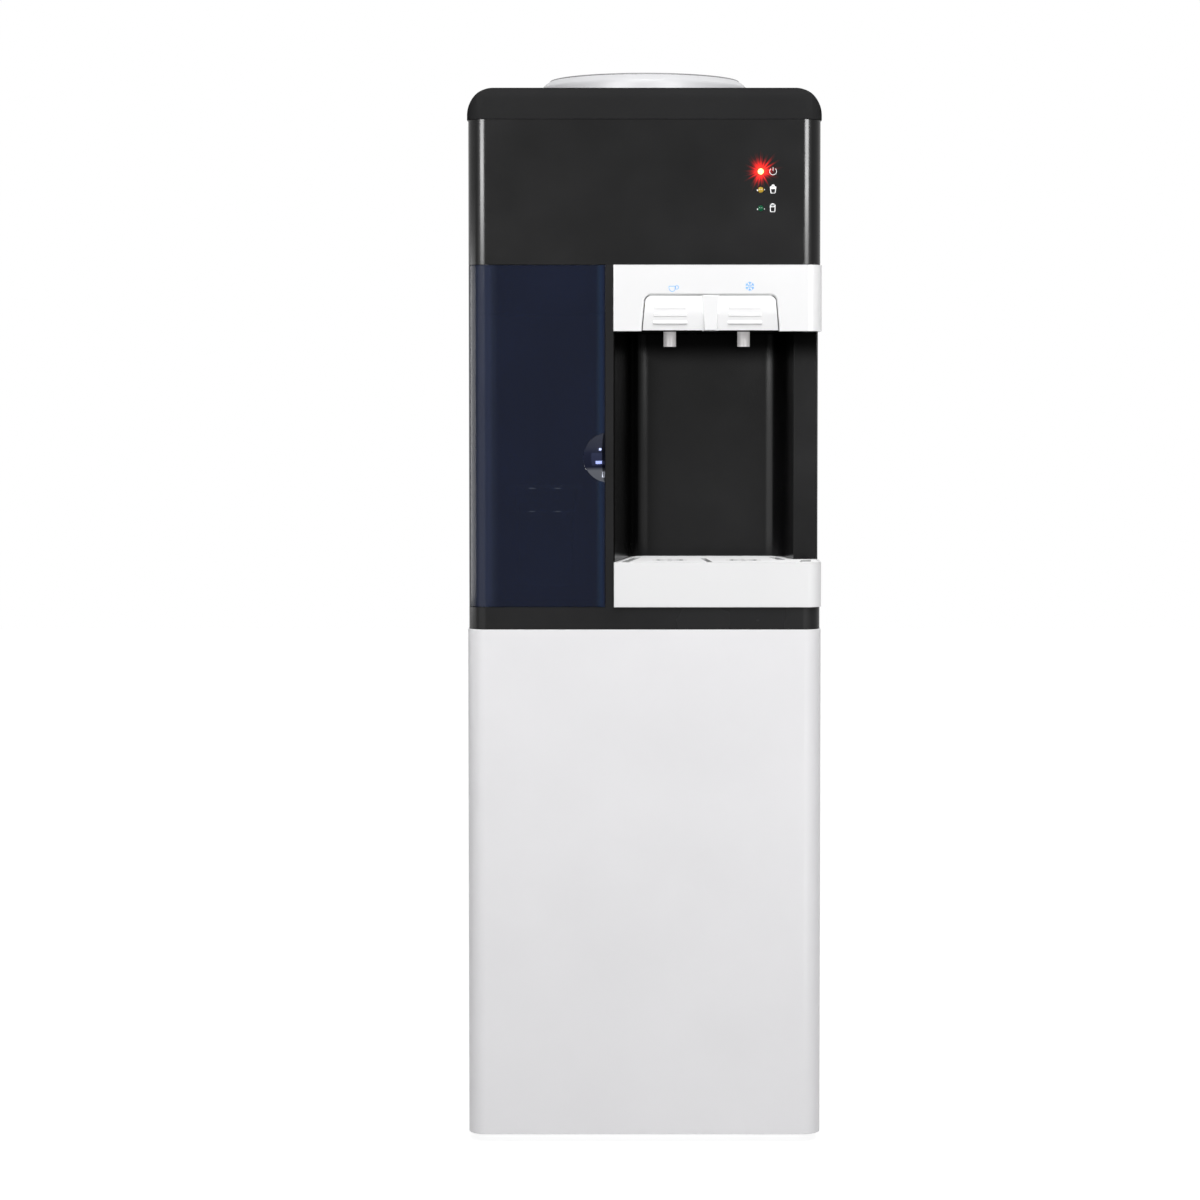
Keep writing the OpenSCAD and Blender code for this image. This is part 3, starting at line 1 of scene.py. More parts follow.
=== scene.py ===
import bpy
import bmesh
import json
import math
from mathutils import Matrix, Vector

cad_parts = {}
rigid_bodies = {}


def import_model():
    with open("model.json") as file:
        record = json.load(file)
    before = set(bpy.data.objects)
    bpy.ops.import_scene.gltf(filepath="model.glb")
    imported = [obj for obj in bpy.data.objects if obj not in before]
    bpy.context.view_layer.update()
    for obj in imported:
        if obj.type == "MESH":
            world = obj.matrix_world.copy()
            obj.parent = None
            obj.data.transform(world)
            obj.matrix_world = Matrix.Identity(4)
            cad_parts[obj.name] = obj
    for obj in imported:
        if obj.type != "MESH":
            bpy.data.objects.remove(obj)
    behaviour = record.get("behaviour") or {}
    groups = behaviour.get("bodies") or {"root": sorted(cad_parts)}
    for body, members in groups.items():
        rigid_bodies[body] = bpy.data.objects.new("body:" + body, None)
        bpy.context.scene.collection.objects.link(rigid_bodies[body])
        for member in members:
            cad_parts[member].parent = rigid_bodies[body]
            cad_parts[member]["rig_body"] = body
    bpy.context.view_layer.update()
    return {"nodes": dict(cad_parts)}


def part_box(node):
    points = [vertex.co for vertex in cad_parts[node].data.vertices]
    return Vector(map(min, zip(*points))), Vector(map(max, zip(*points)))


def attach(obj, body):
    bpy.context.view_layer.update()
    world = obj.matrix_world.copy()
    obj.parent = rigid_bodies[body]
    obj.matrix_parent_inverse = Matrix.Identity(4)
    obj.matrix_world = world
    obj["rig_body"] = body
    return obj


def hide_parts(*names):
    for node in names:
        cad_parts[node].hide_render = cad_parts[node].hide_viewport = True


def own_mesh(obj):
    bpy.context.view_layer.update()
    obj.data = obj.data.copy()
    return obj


# Looks of the water dispenser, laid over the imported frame. Metres, +Z up, the front faces -Y.
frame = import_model()
cadNodes = frame["nodes"]
scene = bpy.context.scene
print("frame:", len(cadNodes), "nodes")

# The camera stands as far off and as high as the photograph's.
cameraSettings = {
    "distance": 2.8,        # from the front of the cabinet
    "eyeHeight": 0.66,
    "pitch": 2.51,          # degrees below level
    "lens": 96.26,
    "shift": (-0.037, -0.055),
    "frontY": -0.165,
    "sensor": 36.0,         # millimetres, as the lens
    "farClip": 50.0,
}


def addCamera(settings):
    data = bpy.data.cameras.new("photoCamera")
    data.lens = settings["lens"]
    data.sensor_width = settings["sensor"]
    data.shift_x, data.shift_y = settings["shift"]
    data.clip_end = settings["farClip"]
    camera = bpy.data.objects.new("photoCamera", data)
    camera.location = (0.0, settings["frontY"] - settings["distance"], settings["eyeHeight"])
    camera.rotation_euler = (math.radians(90.0 - settings["pitch"]), 0.0, 0.0)
    scene.collection.objects.link(camera)
    scene.camera = camera


addCamera(cameraSettings)
scene.view_settings.view_transform = "Standard"


def newNode(tree, kind, **values):
    node = tree.nodes.new("ShaderNode" + kind)
    for key, value in values.items():
        if key in node.inputs:
            node.inputs[key].default_value = value
        else:
            setattr(node, key, value)
    return node


# The studio is white to the camera and to reflections, and softer to matt surfaces.
studioSettings = {
    "worldToSurfaces": 0.5,
    "frontY": -0.165,
    "floorBounce": 0.5,     # what the floor gives back to the object
    "floorShade": 0.3,      # share of the floor's brightness that shadows can take away
    "floorGlow": 0.86,
    "floorRoughness": 0.9,
    "floorHalf": 6.0,
}
# Degrees to the right of the front, distance, height, width, tall, brightness, and what sees the lamp.
lampSettings = {
    "keyLight": (7.0, 1.55, 1.95, 1.5, 1.1, 8.0, "diffuse"),
    "leftStrip": (-31.0, 1.6, 1.02, 0.6, 0.275, 40.0, "glossy"),
    "rightStrip": (31.0, 1.6, 1.02, 0.6, 0.275, 40.0, "glossy"),
    "leftPanel": (-36.0, 1.7, 0.75, 1.3, 1.2, 1.3, "glossy"),
    "rightPanel": (36.0, 1.7, 0.75, 1.3, 1.2, 1.0, "glossy"),
    "doorPanel": (-98.0, 1.1, 0.615, 0.9, 0.4, 6.0, "glossy"),
    "overheadPanel": (0.0, 1.1, 2.3, 1.2, 0.8, 7.0, "glossy"),
    "lowSpot": (27.0, 0.95, 0.13, 0.14, 0.12, 45.0, "glossy"),
}
# Heights that these lamps point at; the others point straight ahead.
lampAims = {"keyLight": 0.55, "overheadPanel": 0.6, "lowSpot": 0.6}


def whiteRays(tree):
    # 1 for camera, glossy and transmission rays, 0 for the light that falls on surfaces
    path = newNode(tree, "LightPath")
    first = newNode(tree, "Math", operation="ADD")
    second = newNode(tree, "Math", operation="ADD", use_clamp=True)
    tree.links.new(path.outputs["Is Camera Ray"], first.inputs[0])
    tree.links.new(path.outputs["Is Glossy Ray"], first.inputs[1])
    tree.links.new(first.outputs[0], second.inputs[0])
    tree.links.new(path.outputs["Is Transmission Ray"], second.inputs[1])
    return second.outputs[0]


def addStudio(settings):
    world = bpy.data.worlds.new("studio")
    world.use_nodes = True
    tree = world.node_tree
    background = tree.nodes["Background"]
    background.inputs["Color"].default_value = (1.0, 1.0, 1.0, 1.0)
    strength = newNode(tree, "MapRange", **{"To Min": settings["worldToSurfaces"], "To Max": 1.0})
    tree.links.new(whiteRays(tree), strength.inputs["Value"])
    tree.links.new(strength.outputs["Result"], background.inputs["Strength"])
    scene.world = world
    for name, (turn, reach, height, width, tall, brightness, seenBy) in lampSettings.items():
        data = bpy.data.lights.new(name, "AREA")
        data.shape = "RECTANGLE"
        data.size, data.size_y = width, tall
        data.energy = brightness * math.pi * width * tall
        lamp = bpy.data.objects.new(name, data)
        angle = math.radians(turn)
        at = Vector((reach * math.sin(angle), settings["frontY"] - reach * math.cos(angle),
                     height))
        aim = Vector((0.0, settings["frontY"], lampAims.get(name, height)))
        lamp.location = at
        lamp.rotation_euler = (aim - at).to_track_quat("-Z", "Y").to_euler()
        lamp.visible_camera = False
        lamp.visible_diffuse = seenBy == "diffuse"
        lamp.visible_glossy = seenBy == "glossy"
        scene.collection.objects.link(lamp)


def addFloor(settings):
    material = bpy.data.materials.new("studioFloor")
    material.use_nodes = True
    tree = material.node_tree
    shader = tree.nodes["Principled BSDF"]
    shader.inputs["Roughness"].default_value = settings["floorRoughness"]
    shader.inputs["Specular IOR Level"].default_value = 0.0
    shade = newNode(tree, "MapRange", **{"To Min": settings["floorBounce"],
                                         "To Max": settings["floorShade"]})
    glow = newNode(tree, "MapRange", **{"To Min": 0.0, "To Max": settings["floorGlow"]})
    tree.links.new(whiteRays(tree), shade.inputs["Value"])
    tree.links.new(whiteRays(tree), glow.inputs["Value"])
    tree.links.new(shade.outputs["Result"], shader.inputs["Base Color"])
    shader.inputs["Emission Color"].default_value = (1.0, 1.0, 1.0, 1.0)
    tree.links.new(glow.outputs["Result"], shader.inputs["Emission Strength"])
    bm = bmesh.new()
    bmesh.ops.create_grid(bm, x_segments=8, y_segments=8, size=settings["floorHalf"])
    mesh = bpy.data.meshes.new("studioFloor")
    bm.to_mesh(mesh)
    bm.free()
    mesh.materials.append(material)
    floor = bpy.data.objects.new("studioFloor", mesh)
    scene.collection.objects.link(floor)


addStudio(studioSettings)
addFloor(studioSettings)
print("camera and studio ready")

# Every finish has patches of colour, patches of gloss and a fine relief.
finishSettings = {
    "lightSheet": {"colour": (0.748, 0.743, 0.757), "roughness": 0.4, "mottle": 0.012, "grain": 900,
                   "relief": 0.12, "specular": 0.3},
    "blackSheet": {"colour": (0.007, 0.007, 0.0075), "roughness": 0.34, "grain": 1100, "relief": 0.25,
                   "specular": 0.3},
    "rearSheet": {"colour": (0.05, 0.051, 0.054), "roughness": 0.55, "grain": 1000, "relief": 0.35},
    "zincSheet": {"colour": (0.62, 0.63, 0.65), "roughness": 0.36, "metallic": 1.0, "mottle": 0.14,
                  "patch": 90.0, "grain": 260, "relief": 0.1, "roughSpread": 0.1},
    "steel": {"colour": (0.6, 0.61, 0.63), "roughness": 0.3, "metallic": 1.0, "mottle": 0.06,
              "grain": 900, "relief": 0.18, "stretch": (1.0, 1.0, 0.05)},
    "glossBlack": {"colour": (0.0022, 0.0022, 0.0024), "roughness": 0.19, "grain": 60, "relief": 0.02,
                   "specular": 0.23, "mottle": 0.15},
    "coverBlack": {"colour": (0.0215, 0.0215, 0.022), "roughness": 0.5, "grain": 900, "relief": 0.12,
                   "specular": 0.0, "mottle": 0.06},
    "frameBlack": {"colour": (0.0095, 0.0095, 0.01), "roughness": 0.26, "grain": 60, "relief": 0.02,
                   "specular": 0.14, "mottle": 0.1},
    "alcoveBlack": {"colour": (0.0045, 0.0045, 0.0048), "roughness": 0.22, "grain": 60, "relief": 0.04,
                    "specular": 0.2, "mottle": 0.15},
    "mattBlack": {"colour": (0.02, 0.02, 0.021), "roughness": 0.6, "grain": 1300, "relief": 0.4},
    "nicheBlack": {"colour": (0.01, 0.012, 0.016), "roughness": 0.6, "grain": 1300, "relief": 0.4,
                   "specular": 0.2},
    "glossWhite": {"colour": (0.765, 0.765, 0.77), "roughness": 0.24, "roughSpread": 0.01,
                   "mottle": 0.01, "grain": 50, "relief": 0.02, "specular": 0.4},
    "trayWhite": {"colour": (0.752, 0.752, 0.757), "roughness": 0.3, "roughSpread": 0.01,
                  "mottle": 0.008, "grain": 60, "relief": 0.02, "specular": 0.35},
    "markGrey": {"colour": (0.14, 0.14, 0.143), "roughness": 0.5, "mottle": 0.05, "grain": 900,
                 "relief": 0.1, "specular": 0.0},
    # Grey painted shade for the drain slots' walls, with a faint painted glow.
    "slotPaintedShade": {"colour": (0.36, 0.36, 0.365), "roughness": 0.5, "mottle": 0.1, "grain": 900,
                 "relief": 0.1, "specular": 0.0, "glow": ((1.0, 1.0, 1.0), 0.1)},
    "mattWhite": {"colour": (0.8, 0.8, 0.8), "roughness": 0.45, "mottle": 0.02, "grain": 1100,
                  "relief": 0.2},
    # Its glow is painted light that brightens the nozzles.
    "nozzleWhitePaintedLight": {"colour": (0.84, 0.81, 0.81), "roughness": 0.3, "mottle": 0.02, "grain": 1100,
                    "relief": 0.1, "glow": ((1.0, 0.98, 0.98), 0.16)},
    # Its glow is painted light that brightens the paddles.
    "paddleWhitePaintedLight": {"colour": (0.84, 0.84, 0.845), "roughness": 0.24, "mottle": 0.01, "grain": 50,
                    "relief": 0.03, "specular": 0.4, "glow": ((1.0, 1.0, 1.0), 0.05)},
    # Its glow is painted light that lifts the grid out of the alcove's shade.
    "gridWhitePaintedLight": {"colour": (0.8, 0.8, 0.805), "roughness": 0.5, "mottle": 0.01, "grain": 500,
                  "relief": 0.08, "specular": 0.0, "glow": ((1.0, 1.0, 1.0), 0.18)},
    # Dark grey of painted shade for the collar's rim.
    "rimShadeGrey": {"colour": (0.2, 0.2, 0.205), "roughness": 0.4, "mottle": 0.05, "grain": 900,
                "relief": 0.12},
    "collarWhite": {"colour": (0.585, 0.585, 0.6), "roughness": 0.4, "mottle": 0.02, "grain": 900,
                    "relief": 0.12},
    "tintedDoor": {"colour": (0.003, 0.0062, 0.021), "roughness": 0.11, "grain": 40, "relief": 0.006,
                   "specular": 0.16, "alpha": 0.86, "mottle": 0.1},
    "clearBlue": {"colour": (0.55, 0.75, 1.0), "roughness": 0.05, "grain": 80, "relief": 0.05,
                  "transmission": 0.92, "ior": 1.45, "mottle": 0.02},
    "greyPlastic": {"colour": (0.2, 0.2, 0.21), "roughness": 0.5, "grain": 1200, "relief": 0.3},
    "foam": {"colour": (0.85, 0.8, 0.62), "roughness": 0.9, "mottle": 0.12, "patch": 60.0,
             "grain": 420, "relief": 0.9},
    "silicone": {"colour": (0.8, 0.8, 0.77), "roughness": 0.4, "grain": 500, "relief": 0.1,
                 "subsurface": 0.15},
    "blackRubber": {"colour": (0.016, 0.016, 0.016), "roughness": 0.75, "grain": 1400, "relief": 0.4},
    "blackSteel": {"colour": (0.012, 0.012, 0.012), "roughness": 0.3, "grain": 350, "relief": 0.15},
    "copper": {"colour": (0.74, 0.4, 0.26), "roughness": 0.28, "metallic": 1.0, "mottle": 0.22,
               "patch": 45.0, "grain": 700, "relief": 0.12, "roughSpread": 0.12},
    "board": {"colour": (0.01, 0.12, 0.045), "roughness": 0.4, "grain": 900, "relief": 0.2},
    "redSeal": {"colour": (0.55, 0.05, 0.03), "roughness": 0.5, "grain": 900, "relief": 0.2},
    "blueSeal": {"colour": (0.03, 0.12, 0.42), "roughness": 0.5, "grain": 900, "relief": 0.2},
    "redRocker": {"colour": (0.55, 0.02, 0.015), "roughness": 0.25, "grain": 300, "relief": 0.06},
    "greenRocker": {"colour": (0.02, 0.3, 0.05), "roughness": 0.25, "grain": 300, "relief": 0.06},
    "mirrorTint": {"colour": (0.004, 0.005, 0.009), "roughness": 0.07, "metallic": 1.0, "mottle": 0.1,
                   "patch": 60.0, "grain": 80, "relief": 0.04, "roughSpread": 0.02},
    # Glint finishes glow as painted highlights.
    "edgeGlint": {"colour": (0.3, 0.45, 0.7), "roughness": 0.2, "grain": 500, "relief": 0.05,
                  "mottle": 0.1, "glow": ((0.45, 0.62, 1.0), 0.22)},
    "whiteGlint": {"colour": (0.8, 0.85, 0.95), "roughness": 0.2, "grain": 500, "relief": 0.05,
                   "mottle": 0.05, "glow": ((0.75, 0.85, 1.0), 2.2)},
    "litRed": {"colour": (0.9, 0.06, 0.03), "roughness": 0.2, "grain": 600, "relief": 0.05,
               "glow": ((1.0, 0.62, 0.2), 3.2)},
    "dimYellow": {"colour": (0.42, 0.27, 0.03), "roughness": 0.3, "grain": 600, "relief": 0.1,
                  "specular": 0.1, "glow": ((0.7, 0.42, 0.03), 0.03)},
    "dimGreen": {"colour": (0.001, 0.07, 0.028), "roughness": 0.3, "grain": 600, "relief": 0.1,
                 "specular": 0.06, "glow": ((0.0, 0.3, 0.12), 0.01)},
    "printWhite": {"colour": (0.84, 0.84, 0.85), "roughness": 0.5, "mottle": 0.05, "grain": 1500,
                   "relief": 0.1},
    "printBlue": {"colour": (0.09, 0.42, 0.95), "roughness": 0.5, "mottle": 0.05, "grain": 1500,
                  "relief": 0.1},
}

# What all finishes share.
grainSettings = {
    "low": 0.3, "high": 0.7,        # part of the noise's range that the patches use
    "patchDetail": 3.0, "fineDetail": 2.0,
    "reliefDepth": 0.06,            # over the grain's scale
    "subsurfaceDepth": 0.004,
}


def makeFinish(name, colour, roughness, mottle=0.08, patch=14.0, grain=900.0, relief=0.2,
               roughSpread=0.04, stretch=(1.0, 1.0, 1.0), metallic=0.0, specular=0.5, alpha=1.0,
               transmission=0.0, ior=1.5, subsurface=0.0, glow=None):
    material = bpy.data.materials.new(name)
    material.use_nodes = True
    tree = material.node_tree
    shader = tree.nodes["Principled BSDF"]
    shader.inputs["Metallic"].default_value = metallic
    shader.inputs["Specular IOR Level"].default_value = specular
    shader.inputs["Alpha"].default_value = alpha
    shader.inputs["Transmission Weight"].default_value = transmission
    shader.inputs["IOR"].default_value = ior
    shader.inputs["Subsurface Weight"].default_value = subsurface
    shader.inputs["Subsurface Scale"].default_value = grainSettings["subsurfaceDepth"]
    coords = newNode(tree, "TexCoord")
    mapping = newNode(tree, "Mapping", Scale=stretch)
    patches = newNode(tree, "TexNoise", Scale=patch, Detail=grainSettings["patchDetail"])
    tint = newNode(tree, "ValToRGB")
    low, high = tint.color_ramp.elements
    low.position, high.position = grainSettings["low"], grainSettings["high"]
    low.color = [c * (1.0 - mottle) for c in colour] + [1.0]
    high.color = [min(1.0, c * (1.0 + mottle)) for c in colour] + [1.0]
    gloss = newNode(tree, "MapRange", **{"From Min": grainSettings["low"],
                                         "From Max": grainSettings["high"],
                                         "To Min": roughness - min(roughSpread, roughness / 2),
                                         "To Max": roughness + roughSpread})
    fine = newNode(tree, "TexNoise", Scale=grain, Detail=grainSettings["fineDetail"])
    bump = newNode(tree, "Bump", Strength=relief, Distance=grainSettings["reliefDepth"] / grain)
    link = tree.links.new
    link(coords.outputs["Object"], mapping.inputs["Vector"])
    link(mapping.outputs["Vector"], patches.inputs["Vector"])
    link(mapping.outputs["Vector"], fine.inputs["Vector"])
    link(patches.outputs["Fac"], tint.inputs["Fac"])
    link(tint.outputs["Color"], shader.inputs["Base Color"])
    link(patches.outputs["Fac"], gloss.inputs["Value"])
    link(gloss.outputs["Result"], shader.inputs["Roughness"])
    link(fine.outputs["Fac"], bump.inputs["Height"])
    link(bump.outputs["Normal"], shader.inputs["Normal"])
    if glow:
        shader.inputs["Emission Color"].default_value = (*glow[0], 1.0)
        shader.inputs["Emission Strength"].default_value = glow[1]
    return material


finishes = {name: makeFinish(name, **values) for name, values in finishSettings.items()}

# The front panel's finish also carries the red light's halo and rays, painted on as glow.
paintedHaloSettings = {
    "at": (0.1012, -0.164, 0.8528),
    "shortRay": 0.008775, "longRay": 0.0247,        # metres, at the noise's low and high end
    "noise": {"Scale": 3.4, "Detail": 4.0, "Roughness": 0.8}, "noiseLow": 0.38, "noiseHigh": 0.72,
    "stops": ((0.38, (0.8, 0.008, 0.006, 1.0)), (0.54, (0.26, 0.003, 0.003, 1.0)),
              (0.74, (0.03, 0.0003, 0.0003, 1.0))),
    "centre": (1.0, 0.08, 0.04, 1.0),
    "strength": 1.5,
}


def addPaintedHalo(material, settings):
    tree = material.node_tree
    shader = tree.nodes["Principled BSDF"]
    link = tree.links.new
    coords = newNode(tree, "TexCoord")
    offset = newNode(tree, "VectorMath", operation="SUBTRACT")
    offset.inputs[1].default_value = settings["at"]
    length = newNode(tree, "VectorMath", operation="LENGTH")
    direction = newNode(tree, "VectorMath", operation="NORMALIZE")
    rays = newNode(tree, "TexNoise", **settings["noise"])
    rayReach = newNode(tree, "MapRange", **{"From Min": settings["noiseLow"],
                                            "From Max": settings["noiseHigh"],
                                            "To Min": settings["shortRay"],
                                            "To Max": settings["longRay"]})
    falloff = newNode(tree, "Math", operation="DIVIDE")
    fade = newNode(tree, "ValToRGB")
    stops = fade.color_ramp
    stops.elements[0].position, stops.elements[0].color = 0.0, settings["centre"]
    stops.elements[1].position, stops.elements[1].color = 1.0, (0.0, 0.0, 0.0, 1.0)
    for position, colour in settings["stops"]:
        stops.elements.new(position).color = colour
    link(coords.outputs["Object"], offset.inputs[0])
    link(offset.outputs["Vector"], length.inputs[0])
    link(offset.outputs["Vector"], direction.inputs[0])
    link(direction.outputs["Vector"], rays.inputs["Vector"])
    link(rays.outputs["Fac"], rayReach.inputs["Value"])
    link(length.outputs["Value"], falloff.inputs[0])
    link(rayReach.outputs["Result"], falloff.inputs[1])
    link(falloff.outputs[0], fade.inputs["Fac"])
    link(fade.outputs["Color"], shader.inputs["Emission Color"])
    shader.inputs["Emission Strength"].default_value = settings["strength"]


# The alcove is darker and duller right under the head and towards its left wall: painted shade in its
# colour and reflections.
shadeSettings = {
    "roof": ("Z", 0.684, 0.706),    # axis, where it starts, where it is full
    "leftWall": ("X", 0.018, -0.02),
    "gloss": 0.12,                  # share of the reflections that is left
    "colour": (0.0002, 0.0002, 0.0002, 1.0),
}


def addShade(material, settings):
    tree = material.node_tree
    shader = tree.nodes["Principled BSDF"]
    link = tree.links.new
    coords = newNode(tree, "TexCoord")
    split = newNode(tree, "SeparateXYZ")
    link(coords.outputs["Object"], split.inputs[0])
    ramps = []
    for key in ("roof", "leftWall"):
        axis, start, full = settings[key]
        ramp = newNode(tree, "MapRange", interpolation_type="SMOOTHSTEP",
                       **{"From Min": start, "From Max": full})
        link(split.outputs[axis], ramp.inputs["Value"])
        ramps.append(ramp)
    most = newNode(tree, "Math", operation="MAXIMUM")
    link(ramps[0].outputs["Result"], most.inputs[0])
    link(ramps[1].outputs["Result"], most.inputs[1])
    tone = newNode(tree, "Mix", data_type="RGBA")
    dim = newNode(tree, "MapRange", **{"To Min": 1.0, "To Max": settings["gloss"]})
    before = shader.inputs["Base Color"].links[0].from_socket
    colours = [item for item in tone.inputs if item.enabled and item.name in "AB"]
    colours[1].default_value = settings["colour"]
    link(most.outputs[0], tone.inputs["Factor"])
    link(before, colours[0])
    link([item for item in tone.outputs if item.enabled][0], shader.inputs["Base Color"])
    link(most.outputs[0], dim.inputs["Value"])
    link(dim.outputs["Result"], shader.inputs["Specular Tint"])


addShade(finishes["alcoveBlack"], shadeSettings)

# The door is lighter along its bend and its free edge: painted highlights.
doorPaintedHighlights = {
    "along": "X", "from": -0.155, "to": -0.033,
    "stops": ((0.057, (0.0, 0.0, 0.0)), (0.075, (0.0125, 0.0155, 0.027)),
              (0.165, (0.0125, 0.0155, 0.027)), (0.187, (0.006, 0.0078, 0.011)),
              (0.225, (0.0, 0.0, 0.0)), (0.925, (0.0, 0.0, 0.0)), (0.94, (0.0035, 0.008, 0.012)),
              (0.957, (0.0038, 0.0115, 0.027)), (0.974, (0.001, 0.005, 0.016)),
              (0.985, (0.0, 0.0, 0.0))),
}


def addPaintedBands(material, settings):
    tree = material.node_tree
    shader = tree.nodes["Principled BSDF"]
    link = tree.links.new
    coords = newNode(tree, "TexCoord")
    split = newNode(tree, "SeparateXYZ")
    along = newNode(tree, "MapRange", **{"From Min": settings["from"], "From Max": settings["to"]})
    ramp = newNode(tree, "ValToRGB")
    elements = ramp.color_ramp.elements
    elements[0].position, elements[0].color = 0.0, (0.0, 0.0, 0.0, 1.0)
    elements[1].position, elements[1].color = 1.0, (0.0, 0.0, 0.0, 1.0)
    for position, colour in settings["stops"]:
        elements.new(position).color = (*colour, 1.0)
    total = newNode(tree, "VectorMath", operation="ADD")
    before = shader.inputs["Base Color"].links[0].from_socket
    link(coords.outputs["Object"], split.inputs[0])
    link(split.outputs[settings["along"]], along.inputs["Value"])
    link(along.outputs["Result"], ramp.inputs["Fac"])
    link(before, total.inputs[0])
    link(ramp.outputs["Color"], total.inputs[1])
    link(total.outputs["Vector"], shader.inputs["Base Color"])


# Its dimple is bright at the foot, dark over that and grey above: painted reflections.
dimplePaintedReflections = {
    "along": "Z", "from": 0.58, "to": 0.63,
    "stops": ((0.04, (0.1, 0.105, 0.12)), (0.25, (0.11, 0.115, 0.13)), (0.31, (0.008, 0.009, 0.02)),
              (0.56, (0.012, 0.014, 0.028)), (0.66, (0.024, 0.026, 0.038)),
              (0.85, (0.032, 0.034, 0.045)), (0.97, (0.02, 0.022, 0.032))),
}
addPaintedBands(finishes["tintedDoor"], doorPaintedHighlights)
addPaintedBands(finishes["mirrorTint"], dimplePaintedReflections)
finishes["panelBlack"] = makeFinish("panelBlack", **finishSettings["glossBlack"])
addPaintedHalo(finishes["panelBlack"], paintedHaloSettings)
print("finishes:", len(finishes))

# The finish that each CAD node wears.
nodeFinish = {
    "base_pan": "zincSheet", "feet": "blackRubber", "lower_front_panel": "lightSheet",
    "lower_side_left": "lightSheet", "lower_side_right": "lightSheet", "upper_side_left": "blackSheet",
    "upper_side_right": "blackSheet", "rear_panel": "rearSheet", "compressor_cover": "rearSheet",
    "panel_screws": "steel", "front_frame": "frameBlack", "upper_front_panel": "panelBlack",
    "top_cover": "coverBlack", "bottle_seat": "collarWhite", "water_probe": "mattWhite",
    "alcove_liner": "alcoveBlack", "cup_niche_liner": "nicheBlack", "cup_door": "tintedDoor",
    "hinge_pins": "steel", "door_magnet": "blackRubber", "cup_holder": "clearBlue",
    "cup_canister": "clearBlue", "dispensing_head": "glossWhite", "tap_paddle_hot": "paddleWhitePaintedLight",
    "tap_paddle_cold": "paddleWhitePaintedLight", "tap_body_hot": "nozzleWhitePaintedLight", "tap_body_cold": "nozzleWhitePaintedLight",
    "tap_plunger_hot": "redSeal", "tap_plunger_cold": "blueSeal", "tap_spring_hot": "steel",
    "tap_spring_cold": "steel", "drip_tray": "trayWhite", "drip_grid": "gridWhitePaintedLight",
    "led_board": "board", "led_power": "litRed", "led_heating": "dimYellow", "led_cooling": "dimGreen",
    "tank_shelf": "zincSheet", "cold_tank": "steel", "cold_tank_lid": "mattWhite",
    "evaporator_coil": "copper", "tank_foam": "foam",
    "mid_shelf": "zincSheet", "hot_tank": "steel", "hot_tank_jacket": "foam", "water_hoses": "silicone",
    "compressor": "blackSteel", "compressor_grommets": "blackRubber", "relay_box": "mattBlack",
    "condenser_tube": "blackSteel", "condenser_wires": "blackSteel", "condenser_brackets": "mattBlack",
    "refrigerant_lines": "copper", "power_inlet": "mattBlack", "switch_bezel": "mattBlack",
    "switch_hot": "redRocker", "switch_cold": "greenRocker", "drain_fittings": "greyPlastic",
    "drain_cap_hot": "redSeal", "drain_cap_cold": "blueSeal",
}
for nodeName, node in cadNodes.items():
    for materialSlot in node.material_slots:
        materialSlot.material = finishes[nodeFinish[nodeName]]


def bodyOf(nodeName):
    return cadNodes[nodeName]["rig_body"]


print("finishes on", len(nodeFinish), "nodes")


def turnVerts(bm, verts, angle, axis):
    bmesh.ops.rotate(bm, verts=verts, cent=(0, 0, 0), matrix=Matrix.Rotation(angle, 3, axis))


def wholeOf(bm):
    return bm.verts[:] + bm.edges[:] + bm.faces[:]


def addPiece(name, bm, finish, body, replaced=(), sharpAngle=35.0, weighted=False):
    mesh = bpy.data.meshes.new(name)
    bm.to_mesh(mesh)
    bm.free()
    mesh.materials.append(finishes[finish])
    mesh.shade_smooth()
    mesh.set_sharp_from_angle(angle=math.radians(sharpAngle))
    piece = bpy.data.objects.new(name, mesh)
    scene.collection.objects.link(piece)
    if weighted:
        modifier = piece.modifiers.new("evenShading", "WEIGHTED_NORMAL")
        modifier.keep_sharp = True
    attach(piece, body)
    if replaced:
        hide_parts(*replaced)
    return piece


